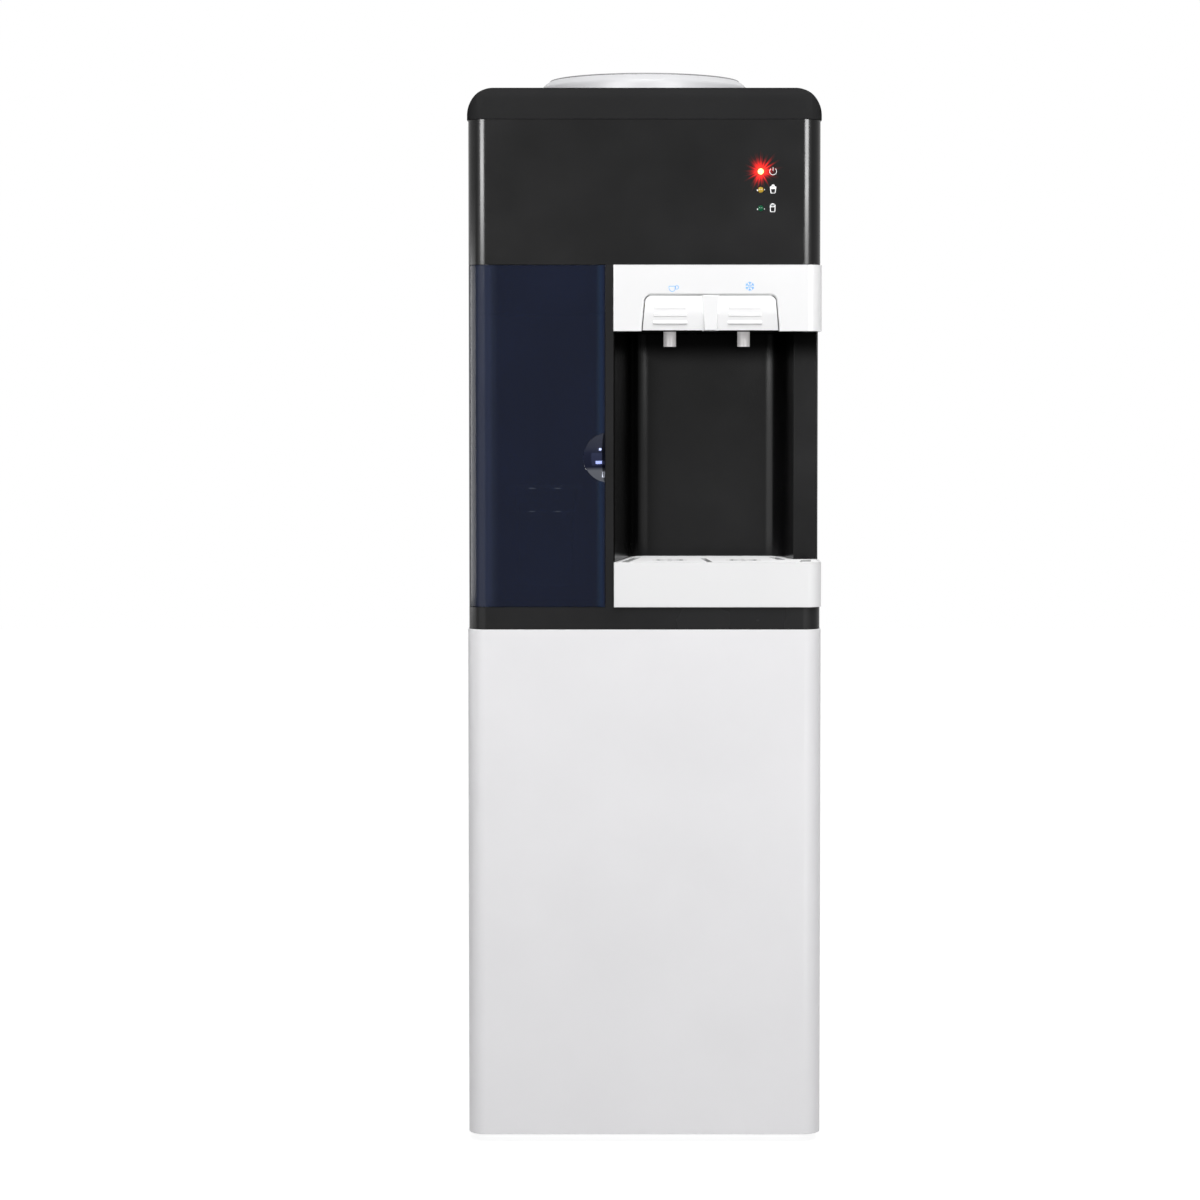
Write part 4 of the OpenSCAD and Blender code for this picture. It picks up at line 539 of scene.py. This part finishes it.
# Moulded and pressed pieces are the CAD form with its edges eased: node, width and segments.
easedSettings = {
    "topCover": ("top_cover", 0.0006, 3), "fasciaPanel": ("upper_front_panel", 0.0006, 3),
    "frontFrame": ("front_frame", 0.0005, 2), "alcoveLiner": ("alcove_liner", 0.0004, 2),
    "cupDoor": ("cup_door", 0.0007, 3), "cupNicheLiner": ("cup_niche_liner", 0.0005, 2),
    "dispensingHead": ("dispensing_head", 0.0005, 3), "hotPaddle": ("tap_paddle_hot", 0.0003, 2),
    "coldPaddle": ("tap_paddle_cold", 0.0003, 2), "hotTapBody": ("tap_body_hot", 0.0003, 2),
    "coldTapBody": ("tap_body_cold", 0.0003, 2), "dripTray": ("drip_tray", 0.0006, 3),
    "dripGrid": ("drip_grid", 0.0003, 2), "cupHolder": ("cup_holder", 0.0004, 2),
    "cupCanister": ("cup_canister", 0.0004, 2), "lowerFrontPanel": ("lower_front_panel", 0.0005, 2),
    "lowerLeftSide": ("lower_side_left", 0.0004, 2), "lowerRightSide": ("lower_side_right", 0.0004, 2),
    "upperLeftSide": ("upper_side_left", 0.0004, 2), "upperRightSide": ("upper_side_right", 0.0004, 2),
    "rearPanel": ("rear_panel", 0.0003, 1), "compressorCover": ("compressor_cover", 0.0003, 1),
    "bottleSeat": ("bottle_seat", 0.0004, 2), "waterProbe": ("water_probe", 0.0004, 2),
    "powerInlet": ("power_inlet", 0.0005, 2), "switchBezel": ("switch_bezel", 0.0005, 2),
    "hotSwitch": ("switch_hot", 0.0006, 3), "coldSwitch": ("switch_cold", 0.0006, 3),
    "hotDrainCap": ("drain_cap_hot", 0.0006, 3), "coldDrainCap": ("drain_cap_cold", 0.0006, 3),
    "condenserBrackets": ("condenser_brackets", 0.0004, 2), "relayBox": ("relay_box", 0.0015, 3),
    "footPads": ("feet", 0.0006, 2),
}
easingSettings = {
    "merge": 2e-6,          # joins the loose triangles of a CAD mesh
    "flatAngle": 0.6,       # degrees between faces that become one
    "crispAngle": 38.0,     # degrees from which an edge is eased
    "shortest": 1e-5,       # shortest edge that is eased
}
recessSettings = {"x": (-0.004, 0.119), "z": (0.7172, 0.7465), "frontY": -0.1679, "bevel": 0.0019,
                  "edgeAngle": 0.6, "slack": 1e-6, "rise": 1e-5}


def easeRecess(bm, settings):
    # a wider bevel along the recess's edge in the head's front
    (x0, x1), (z0, z1) = settings["x"], settings["z"]
    bmesh.ops.bisect_plane(bm, geom=wholeOf(bm), plane_co=(0, 0, z0), plane_no=(0, 0, 1))
    rim = [edge for edge in bm.edges
           if edge.is_manifold and abs(edge.calc_face_angle(0.0)) > settings["edgeAngle"]
           and all(x0 < v.co.x < x1 and v.co.y < settings["frontY"]
                   and z0 - settings["slack"] < v.co.z < z1 for v in edge.verts)
           and any(v.co.z > z0 + settings["rise"] for v in edge.verts)]
    bmesh.ops.bevel(bm, geom=rim, offset=settings["bevel"], offset_type="OFFSET", segments=3,
                    profile=0.5, affect="EDGES", material=-1, clamp_overlap=False)


collarSettings = {"top": 0.9462, "crestRadius": 0.081, "reach": 0.014, "fall": 0.008}


def roundCollar(bm, settings):
    # the outer shoulder of the bottle seat's collar falls away from its crest
    for vert in bm.verts:
        outside = (math.hypot(vert.co.x, vert.co.y) - settings["crestRadius"]) / settings["reach"]
        if outside > 0.0:
            vert.co.z = min(vert.co.z, settings["top"] - settings["fall"] * outside ** 2)


def easedCopy(nodeName, width, segments, settings):
    bm = bmesh.new()
    bm.from_mesh(cadNodes[nodeName].data)
    bmesh.ops.remove_doubles(bm, verts=bm.verts, dist=settings["merge"])
    bmesh.ops.dissolve_limit(bm, angle_limit=math.radians(settings["flatAngle"]), verts=bm.verts,
                             edges=bm.edges)
    if nodeName == "dispensing_head":
        easeRecess(bm, recessSettings)
    if nodeName == "bottle_seat":
        roundCollar(bm, collarSettings)
    crisp = [edge for edge in bm.edges
             if edge.is_manifold and edge.calc_length() > settings["shortest"]
             and abs(edge.calc_face_angle(0.0)) > math.radians(settings["crispAngle"])]
    bmesh.ops.bevel(bm, geom=crisp, offset=width, offset_type="OFFSET", segments=segments,
                    profile=0.5, affect="EDGES", material=-1, clamp_overlap=True)
    bmesh.ops.triangulate(bm, faces=[face for face in bm.faces if len(face.verts) > 4])
    return bm


for pieceName, (nodeName, width, segments) in easedSettings.items():
    bm = easedCopy(nodeName, width, segments, easingSettings)
    addPiece(pieceName, bm, nodeFinish[nodeName], bodyOf(nodeName), [nodeName],
             weighted=True)
print("eased pieces:", len(easedSettings))

# Lenses of the three lights, turned about their own axes.
lensSettings = {
    "x": 0.1012, "y": -0.164, "radius": 0.0025, "rise": 0.0006, "depth": 0.0035, "collar": 0.0004,
    "dome": ((0.0, 1.0), (0.45, 0.86), (0.8, 0.4), (0.96, 0.0)),    # shares of radius and rise
    "steps": 32,
    "heights": {"powerLens": (0.8528, "led_power", "litRed"),
                "heatingLens": (0.8368, "led_heating", "dimYellow"),
                "coolingLens": (0.8208, "led_cooling", "dimGreen")},
}


def turned(profile, centre, steps):
    # profile: (radius, y) pairs, turned about the Y axis through the centre
    bm = bmesh.new()
    verts = [bm.verts.new((radius, y, 0.0)) for radius, y in profile]
    edges = [bm.edges.new(pair) for pair in zip(verts, verts[1:])]
    bmesh.ops.spin(bm, geom=verts + edges, cent=(0, 0, 0), axis=(0, 1, 0), angle=math.tau,
                   steps=steps, use_merge=True)
    bmesh.ops.remove_doubles(bm, verts=bm.verts, dist=1e-7)
    bmesh.ops.recalc_face_normals(bm, faces=bm.faces)
    bmesh.ops.translate(bm, verts=bm.verts, vec=centre)
    return bm


for pieceName, (height, nodeName, finish) in lensSettings["heights"].items():
    radius, rise, depth = lensSettings["radius"], lensSettings["rise"], lensSettings["depth"]
    profile = [(radius * across, -rise * up) for across, up in lensSettings["dome"]]
    profile += [(radius, lensSettings["collar"]), (radius, depth), (0.0, depth)]
    bm = turned(profile, (lensSettings["x"], lensSettings["y"], height), lensSettings["steps"])
    addPiece(pieceName, bm, finish, "root", [nodeName])
print("lenses:", len(lensSettings["heights"]))

# Bright specks of the moulded lenses beside and on the two dim lights: painted highlights.
speckSettings = {
    "size": (0.00055, 0.0003, 0.0008),
    "besideY": -0.1641,     # x, z and share of the size
    "beside": ((0.0984, 0.8364, 1.0), (0.1044, 0.8370, 0.7), (0.0984, 0.8200, 0.9),
               (0.1044, 0.8202, 0.6)),
    "lensY": -0.16455,
    "onLens": ((0.1003, 0.8372, 0.45), (0.1022, 0.8372, 0.45), (0.1003, 0.8213, 0.45),
               (0.1022, 0.8213, 0.45)),
}
bm = bmesh.new()
for key, y in (("beside", speckSettings["besideY"]), ("onLens", speckSettings["lensY"])):
    for x, z, share in speckSettings[key]:
        speck = bmesh.ops.create_uvsphere(bm, u_segments=12, v_segments=8, radius=share)["verts"]
        bmesh.ops.scale(bm, verts=speck, vec=speckSettings["size"])
        bmesh.ops.translate(bm, verts=speck, vec=(x, y, z))
addPiece("lensGlintSpecks", bm, "printWhite", "root")

# Printed signs, a film's thickness off the surface.
signSettings = {
    "film": 0.00006,
    "power": {"at": (0.1119, 0.8528), "radius": 0.0032, "line": 0.00045, "gap": 80.0,
              "bar": 1.05, "barMiddle": 0.62},
    # most values below are shares of the sign's own width, height or radius
    "jug": {"at": (0.1119, 0.8368), "width": 0.0058, "height": 0.0062, "foot": 0.0043 / 0.0058,
            "frame": 0.15, "drop": 0.15, "knob": 0.24, "knobFlat": 0.8, "knobAt": 0.58, "sides": 16},
    "bottle": {"at": (0.1116, 0.8208), "width": 0.0049, "height": 0.0064, "foot": 0.94,
               "frame": 0.145, "drop": 0.14, "knob": 0.36, "knobFlat": 0.75, "knobAt": 0.47,
               "sides": 20},
    "cup": {"at": (0.0242, 0.7523), "width": 0.0068, "height": 0.0058, "line": 0.0005, "rimAt": 0.12,
            "bowl": (0.92, 1.4), "handle": 0.31, "handleAt": (0.58, -0.05), "handleSides": 20},
    "flake": {"at": (0.0917, 0.753), "radius": 0.0041, "line": 0.0006, "arm": 0.88, "armAt": 0.56,
              "twig": 0.36, "twigTurn": 0.9, "twigAt": (0.17, 0.74)},
    "corner": 0.16, "windowFlat": 0.74,
}


def standUp(bm, at, y, film):
    # signs are drawn in X and Y, then stood up as X and Z on a surface that faces the front
    bmesh.ops.recalc_face_normals(bm, faces=bm.faces)
    bmesh.ops.solidify(bm, geom=bm.faces[:], thickness=film)
    low = min(vert.co.z for vert in bm.verts)
    bmesh.ops.translate(bm, verts=bm.verts, vec=(0, 0, -low))
    turnVerts(bm, bm.verts, math.radians(90), "X")
    bmesh.ops.translate(bm, verts=bm.verts, vec=(at[0], y, at[1]))
    return bm


def addPlate(bm, width, height):
    plate = bmesh.ops.create_grid(bm, x_segments=1, y_segments=1, size=0.5)["verts"]
    bmesh.ops.scale(bm, verts=plate, vec=(width, height, 1.0))
    return plate


def addDisc(bm, radius, sides):
    return bmesh.ops.create_circle(bm, cap_ends=True, radius=radius, segments=sides)["verts"]


def powerSign(size):
    bm = bmesh.new()
    inner, outer = size["radius"] - size["line"], size["radius"]
    verts = [bm.verts.new((0.0, inner, 0.0)), bm.verts.new((0.0, outer, 0.0))]
    edge = bm.edges.new(verts)
    start = math.radians(size["gap"] / 2)
    turnVerts(bm, verts, start, "Z")
    bmesh.ops.spin(bm, geom=verts + [edge], cent=(0, 0, 0), axis=(0, 0, 1),
                   angle=math.tau - 2 * start, steps=28, use_merge=False)
    bar = addPlate(bm, size["line"], size["radius"] * size["bar"])
    bmesh.ops.translate(bm, verts=bar, vec=(0.0, size["radius"] * size["barMiddle"], 0.0))
    return bm


def vesselSign(size):
    # a plate, narrower at its foot, with a window low in it and a round knob or shoulder on top
    bm = bmesh.new()
    width, height = size["width"], size["height"]
    plate = addPlate(bm, width, height)
    for vert in plate:
        if vert.co.y < 0:
            vert.co.x *= size["foot"]
    bmesh.ops.bevel(bm, geom=plate, offset=width * signSettings["corner"], segments=3, profile=0.5,
                    affect="VERTICES", material=-1)
    window = max(bm.faces, key=lambda f: f.calc_area())
    bmesh.ops.inset_region(bm, faces=[window], thickness=width * size["frame"], use_boundary=True,
                           use_even_offset=True)
    bmesh.ops.scale(bm, verts=window.verts, vec=(1.0, signSettings["windowFlat"], 1.0),
                    space=Matrix.Translation(-window.calc_center_median()))
    bmesh.ops.translate(bm, verts=window.verts, vec=(0.0, -height * size["drop"], 0.0))
    bmesh.ops.delete(bm, geom=[window], context="FACES_ONLY")
    knob = addDisc(bm, width * size["knob"], size["sides"])
    bmesh.ops.scale(bm, verts=knob, vec=(1.0, size["knobFlat"], 1.0))
    bmesh.ops.translate(bm, verts=knob, vec=(0.0, height * size["knobAt"], 0.0))
    return bm


def cupSign(size):
    bm = bmesh.new()
    width, height = size["width"], size["height"]
    bowl = addDisc(bm, 0.5, 32)
    for vert in bowl:
        vert.co.y = min(vert.co.y, size["rimAt"])
    bmesh.ops.scale(bm, verts=bowl, vec=(width * size["bowl"][0], height * size["bowl"][1], 1.0))
    bmesh.ops.remove_doubles(bm, verts=bowl, dist=1e-5)
    face = bm.faces[:][0]
    bmesh.ops.inset_region(bm, faces=[face], thickness=size["line"], use_boundary=True)
    bmesh.ops.delete(bm, geom=[face], context="FACES_ONLY")
    ring = addDisc(bm, height * size["handle"], size["handleSides"])
    bmesh.ops.translate(bm, verts=ring,
                        vec=(width * size["handleAt"][0], height * size["handleAt"][1], 0.0))
    handle = next(f for f in bm.faces if ring[0] in f.verts[:] and len(f.verts) == len(ring))
    bmesh.ops.inset_region(bm, faces=[handle], thickness=size["line"], use_boundary=True)
    bmesh.ops.delete(bm, geom=[handle], context="FACES_ONLY")
    return bm


def flakeSign(size):
    bm = bmesh.new()
    radius = size["radius"]
    for i in range(6):
        arm = addPlate(bm, size["line"], radius * size["arm"])
        bmesh.ops.translate(bm, verts=arm, vec=(0.0, radius * size["armAt"], 0.0))
        turnVerts(bm, arm, i * math.tau / 6, "Z")
        for side in (-1, 1):
            twig = addPlate(bm, size["line"], radius * size["twig"])
            turnVerts(bm, twig, side * size["twigTurn"], "Z")
            bmesh.ops.translate(bm, verts=twig, vec=(-side * radius * size["twigAt"][0],
                                                     radius * size["twigAt"][1], 0.0))
            turnVerts(bm, twig, i * math.tau / 6, "Z")
    return bm


panelY, headY = -0.164, -0.168
for pieceName, draw, key, y, finish, slotName in (
        ("powerSign", powerSign, "power", panelY, "printWhite", "gloss_white"),
        ("jugSign", vesselSign, "jug", panelY, "printWhite", "gloss_white"),
        ("bottleSign", vesselSign, "bottle", panelY, "printWhite", "gloss_white"),
        ("cupSign", cupSign, "cup", headY, "printBlue", "seal_blue"),
        ("flakeSign", flakeSign, "flake", headY, "printBlue", "seal_blue")):
    bm = standUp(draw(signSettings[key]), signSettings[key]["at"], y, signSettings["film"])
    addPiece(pieceName, bm, finish, "root")
print("signs drawn")


def edgesOf(verts):
    return list(dict.fromkeys(edge for vert in verts for edge in vert.link_edges))


def facesAround(face):
    around = dict.fromkeys(other for edge in face.edges for other in edge.link_faces)
    return [other for other in around if other is not face]


def addBlock(bm, low, high, ease=0.0, segments=2):
    # a block between two corners with its edges eased
    size = [b - a for a, b in zip(low, high)]
    middle = [(a + b) / 2 for a, b in zip(low, high)]
    verts = bmesh.ops.create_cube(bm, size=1.0)["verts"]
    bmesh.ops.scale(bm, verts=verts, vec=size)
    bmesh.ops.translate(bm, verts=verts, vec=middle)
    if ease:
        bmesh.ops.bevel(bm, geom=edgesOf(verts), offset=ease, segments=segments, profile=0.5,
                        affect="EDGES", material=-1, clamp_overlap=True)


def addWire(bm, radius, thick, sides):
    # the round section of a wire, standing across the X axis at that radius
    circle = bmesh.ops.create_circle(bm, cap_ends=False, radius=thick, segments=sides)["verts"]
    turnVerts(bm, circle, math.radians(90), "X")
    bmesh.ops.translate(bm, verts=circle, vec=(radius, 0, 0))
    return circle, edgesOf(circle)


def addRing(bm, centre, radius, thick, steps, sides):
    # a round wire bent into a ring about the Z axis
    before = set(bm.verts)
    circle, edges = addWire(bm, radius, thick, sides)
    bmesh.ops.spin(bm, geom=circle + edges, cent=(0, 0, 0), axis=(0, 0, 1), angle=math.tau,
                   steps=steps, use_merge=True)
    bmesh.ops.translate(bm, verts=[vert for vert in bm.verts if vert not in before], vec=centre)


# Grip ribs on the paddles, each laid on the face at its own slope.
ribSettings = {
    "taps": {"hotRibs": (0.0224, "tap_paddle_hot"), "coldRibs": (0.0876, "tap_paddle_cold")},
    "rows": ((0.0139, 0.7347, -0.16640, 5.0),       # half width, z, y, slope in degrees
             (0.0143, 0.7284, -0.16530, 19.0), (0.0149, 0.7219, -0.16305, 20.0)),
    "tall": 0.0028, "proud": 0.00055, "sunk": 0.0004, "ease": 0.0005,
}
for pieceName, (x, nodeName) in ribSettings["taps"].items():
    bm = bmesh.new()
    for half, z, y, slope in ribSettings["rows"]:
        first = len(bm.verts)
        addBlock(bm, (-half, -ribSettings["proud"], -ribSettings["tall"] / 2),
                 (half, ribSettings["sunk"], ribSettings["tall"] / 2), ribSettings["ease"], 3)
        bm.verts.ensure_lookup_table()
        bar = bm.verts[first:]
        turnVerts(bm, bar, math.radians(slope), "X")
        bmesh.ops.translate(bm, verts=bar, vec=(x, y, z))
    addPiece(pieceName, bm, "paddleWhitePaintedLight", bodyOf(nodeName), weighted=True)

# A white lip over the paddles, and the shield-shaped face and fill of the block between them.
lipSettings = {"low": (0.0032, -0.1664, 0.74495), "high": (0.1120, -0.1580, 0.74555), "ease": 0.0001}
shieldSettings = {
    "low": (0.0502, -0.1672, 0.7149), "high": (0.0650, -0.1612, 0.7454), "footShare": 0.7,
    "ease": 0.0008,
    "fillLow": (0.04983, -0.1664, 0.7149), "fillHigh": (0.06537, -0.1575, 0.7453), "fillEase": 0.00015,
    "fillFrom": (0.0, -0.1664, 0.7290), "fillFacing": (0.0, -0.928, -0.3725),
}
bm = bmesh.new()
addBlock(bm, lipSettings["low"], lipSettings["high"], lipSettings["ease"])
addPiece("recessLips", bm, "glossWhite", bodyOf("dispensing_head"))
bm = bmesh.new()
addBlock(bm, shieldSettings["fillLow"], shieldSettings["fillHigh"], shieldSettings["fillEase"])
cut = bmesh.ops.bisect_plane(bm, geom=wholeOf(bm), plane_co=shieldSettings["fillFrom"],
                             plane_no=shieldSettings["fillFacing"], clear_outer=True)["geom_cut"]
bmesh.ops.holes_fill(bm, edges=[item for item in cut if isinstance(item, bmesh.types.BMEdge)])
bmesh.ops.recalc_face_normals(bm, faces=bm.faces)
addPiece("shieldFill", bm, "paddleWhitePaintedLight", bodyOf("dispensing_head"))
bm = bmesh.new()
addBlock(bm, shieldSettings["low"], shieldSettings["high"])
middle = [(a + b) / 2 for a, b in zip(shieldSettings["low"], shieldSettings["high"])]
foot = [vert for vert in bm.verts if vert.co.z < middle[2]]
bmesh.ops.scale(bm, verts=foot, vec=(shieldSettings["footShare"], 1.0, 1.0),
                space=Matrix.Translation((-middle[0], 0.0, 0.0)))
bmesh.ops.bevel(bm, geom=bm.edges[:], offset=shieldSettings["ease"], offset_type="OFFSET", segments=4,
                profile=0.5, affect="EDGES", material=-1, clamp_overlap=True)
addPiece("shieldFace", bm, "glossWhite", bodyOf("dispensing_head"),
         weighted=True)
print("paddle ribs, recess lip and shield")

# Darker rim on the collar of the bottle seat: painted shade along its rounded top edge.
rimShadeSettings = {"radius": 0.0862, "height": 0.9447, "thick": 0.0011, "steps": 128, "sides": 12}
bm = bmesh.new()
addRing(bm, (0, 0, rimShadeSettings["height"]), rimShadeSettings["radius"], rimShadeSettings["thick"],
        rimShadeSettings["steps"], rimShadeSettings["sides"])
bmesh.ops.recalc_face_normals(bm, faces=bm.faces)
addPiece("seatRimShade", bm, "rimShadeGrey", bodyOf("bottle_seat"))

# Finger dimple of the door: a glossy bowl laid on the moulded one, its colour banded with painted
# reflections.
dimpleSettings = {"centre": (-0.0313, -0.18639, 0.604), "radius": 0.03133, "wall": 0.00004,
                  "edgeX": -0.0345, "faceY": -0.1638}
bm = bmesh.new()
bmesh.ops.create_uvsphere(bm, u_segments=96, v_segments=64, radius=dimpleSettings["radius"])
turnVerts(bm, bm.verts, math.radians(90), "X")
bmesh.ops.translate(bm, verts=bm.verts, vec=dimpleSettings["centre"])
for point, normal in (((0, dimpleSettings["faceY"], 0), (0, -1, 0)),
                      ((dimpleSettings["edgeX"], 0, 0), (1, 0, 0))):
    bmesh.ops.bisect_plane(bm, geom=wholeOf(bm), plane_co=point, plane_no=normal, clear_outer=True)
bmesh.ops.reverse_faces(bm, faces=bm.faces)
bmesh.ops.solidify(bm, geom=bm.faces[:], thickness=dimpleSettings["wall"])
bmesh.ops.recalc_face_normals(bm, faces=bm.faces)
addPiece("doorDimple", bm, "mirrorTint", bodyOf("cup_door"), sharpAngle=60.0)

# Painted glints behind the door: glowing rings and dashes on the edges of the clear cup holder and
# canister.
glintSettings = {
    "centre": (-0.088, -0.098),
    "steps": 96, "sides": 8,
    "holderRings": ((0.0316, 0.5771), (0.0272, 0.5750), (0.0286, 0.5551)),
    "canisterRings": ((0.0275, 0.5783), (0.0245, 0.4905)),
    "wire": 0.00028,
    "dashes": ((-0.0112, 0.0298, 0.5760), (0.0112, 0.0298, 0.5760), (-0.0112, 0.0267, 0.5554),
               (0.0112, 0.0267, 0.5554)),
    "dash": (0.0030, 0.0003, 0.00055),
}
cx, cy = glintSettings["centre"]
for pieceName, key, nodeName in (("holderGlintRings", "holderRings", "cup_holder"),
                                 ("canisterGlintRings", "canisterRings", "cup_canister")):
    bm = bmesh.new()
    for radius, z in glintSettings[key]:
        addRing(bm, (cx, cy, z), radius, glintSettings["wire"], glintSettings["steps"],
                glintSettings["sides"])
    bmesh.ops.recalc_face_normals(bm, faces=bm.faces)
    addPiece(pieceName, bm, "edgeGlint", bodyOf(nodeName))
bm = bmesh.new()
for dx, dy, z in glintSettings["dashes"]:
    drop = bmesh.ops.create_uvsphere(bm, u_segments=16, v_segments=10, radius=1.0)["verts"]
    bmesh.ops.scale(bm, verts=drop, vec=glintSettings["dash"])
    bmesh.ops.translate(bm, verts=drop, vec=(cx + dx, cy - dy, z))
addPiece("holderGlints", bm, "whiteGlint", bodyOf("cup_holder"))
print("seat rim, door dimple and clear edges")

# Coil springs of the taps.
springSettings = {
    "springs": {"hotSpring": ("tap_spring_hot", "paddle_hot_press"),
                "coldSpring": ("tap_spring_cold", "paddle_cold_press")},
    "wire": 0.0005, "sides": 10, "turns": 5, "stepsPerTurn": 24,
    "pressed": 0.00585,     # length with the paddle at its limit
}
for pieceName, (nodeName, jointName) in springSettings["springs"].items():
    low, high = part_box(nodeName)
    wire, turns = springSettings["wire"], springSettings["turns"]
    steps = turns * springSettings["stepsPerTurn"]
    tall = high[2] - low[2]
    middle = ((low[0] + high[0]) / 2, (low[1] + high[1]) / 2, low[2] + wire)
    bm = bmesh.new()
    circle, edges = addWire(bm, (high[0] - low[0]) / 2 - wire, wire, springSettings["sides"])
    bmesh.ops.spin(bm, geom=circle + edges, cent=(0, 0, 0), axis=(0, 0, 1), angle=math.tau * turns,
                   steps=steps, dvec=(0, 0, (tall - 2 * wire) / steps))
    bmesh.ops.holes_fill(bm, edges=[edge for edge in bm.edges if edge.is_boundary])
    bmesh.ops.recalc_face_normals(bm, faces=bm.faces)
    bmesh.ops.translate(bm, verts=bm.verts, vec=middle)
    spring = addPiece(pieceName, bm, "steel", bodyOf(nodeName), [nodeName])
    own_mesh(spring)
print("springs coiled")

# Grey inlays in the grid's target grooves, and grey linings in its drain slots that paint the shade
# inside them.
gridSettings = {
    "top": 0.51237, "bottom": 0.51145, "rings": (0.0224, 0.0876), "y": -0.124, "steps": 72,
    "inner": 0.0096, "outer": 0.0124,
    "tickEnd": 0.0154, "tick": 0.0017, "tickSunk": 0.0002, "tickDrop": 0.00002,
    "slotTop": 0.51232, "slotLow": 0.5101, "lining": 0.0002, "ease": 0.00006,
    "slots": (((-0.0210, -0.162), (-0.0140, -0.162), (-0.0030, -0.077), (-0.0090, -0.077)),
              ((0.055, -0.160), (0.060, -0.160), (0.055, -0.092), (0.050, -0.092)),
              ((0.1180, -0.118), (0.1260, -0.118), (0.1180, -0.075), (0.1120, -0.075)),
              ((0.1360, -0.152), (0.1460, -0.152), (0.1480, -0.120), (0.1400, -0.120))),
}
bm = bmesh.new()
inner, outer, tick = gridSettings["inner"], gridSettings["outer"], gridSettings["tick"]
bottom, top = gridSettings["bottom"], gridSettings["top"]
section = ((inner, 0, bottom), (outer, 0, bottom), (outer, 0, top), (inner, 0, top))
for x in gridSettings["rings"]:
    before = set(bm.verts)
    corners = [bm.verts.new(corner) for corner in section]
    edges = [bm.edges.new(pair) for pair in zip(corners, corners[1:] + corners[:1])]
    bmesh.ops.spin(bm, geom=corners + edges, cent=(0, 0, 0), axis=(0, 0, 1), angle=math.tau,
                   steps=gridSettings["steps"], use_merge=True)
    for turn in range(4):
        older = set(bm.verts)
        addBlock(bm, (outer - gridSettings["tickSunk"], -tick, bottom),
                 (gridSettings["tickEnd"], tick, top - gridSettings["tickDrop"]))
        turnVerts(bm, [v for v in bm.verts if v not in older], turn * math.pi / 2, "Z")
    bmesh.ops.translate(bm, verts=[v for v in bm.verts if v not in before],
                        vec=(x, gridSettings["y"], 0))
bmesh.ops.recalc_face_normals(bm, faces=bm.faces)
addPiece("gridTargets", bm, "markGrey", bodyOf("drip_grid"))
bm = bmesh.new()
for outline in gridSettings["slots"]:
    face = bm.faces.new([bm.verts.new((x, y, gridSettings["slotLow"])) for x, y in outline])
    bmesh.ops.inset_region(bm, faces=[face], thickness=gridSettings["ease"], use_boundary=True)
    bmesh.ops.delete(bm, geom=facesAround(face), context="FACES")
    bmesh.ops.inset_region(bm, faces=[face], thickness=gridSettings["lining"], use_boundary=True)
    walls = facesAround(face)
    bmesh.ops.delete(bm, geom=[face], context="FACES_ONLY")
    raised = bmesh.ops.extrude_face_region(bm, geom=walls, use_keep_orig=True)["geom"]
    bmesh.ops.translate(bm, verts=[item for item in raised if isinstance(item, bmesh.types.BMVert)],
                        vec=(0, 0, gridSettings["slotTop"] - gridSettings["slotLow"]))
bmesh.ops.recalc_face_normals(bm, faces=bm.faces)
addPiece("gridSlotShadeLinings", bm, "slotPaintedShade", bodyOf("drip_grid"))
print("grid inlays")
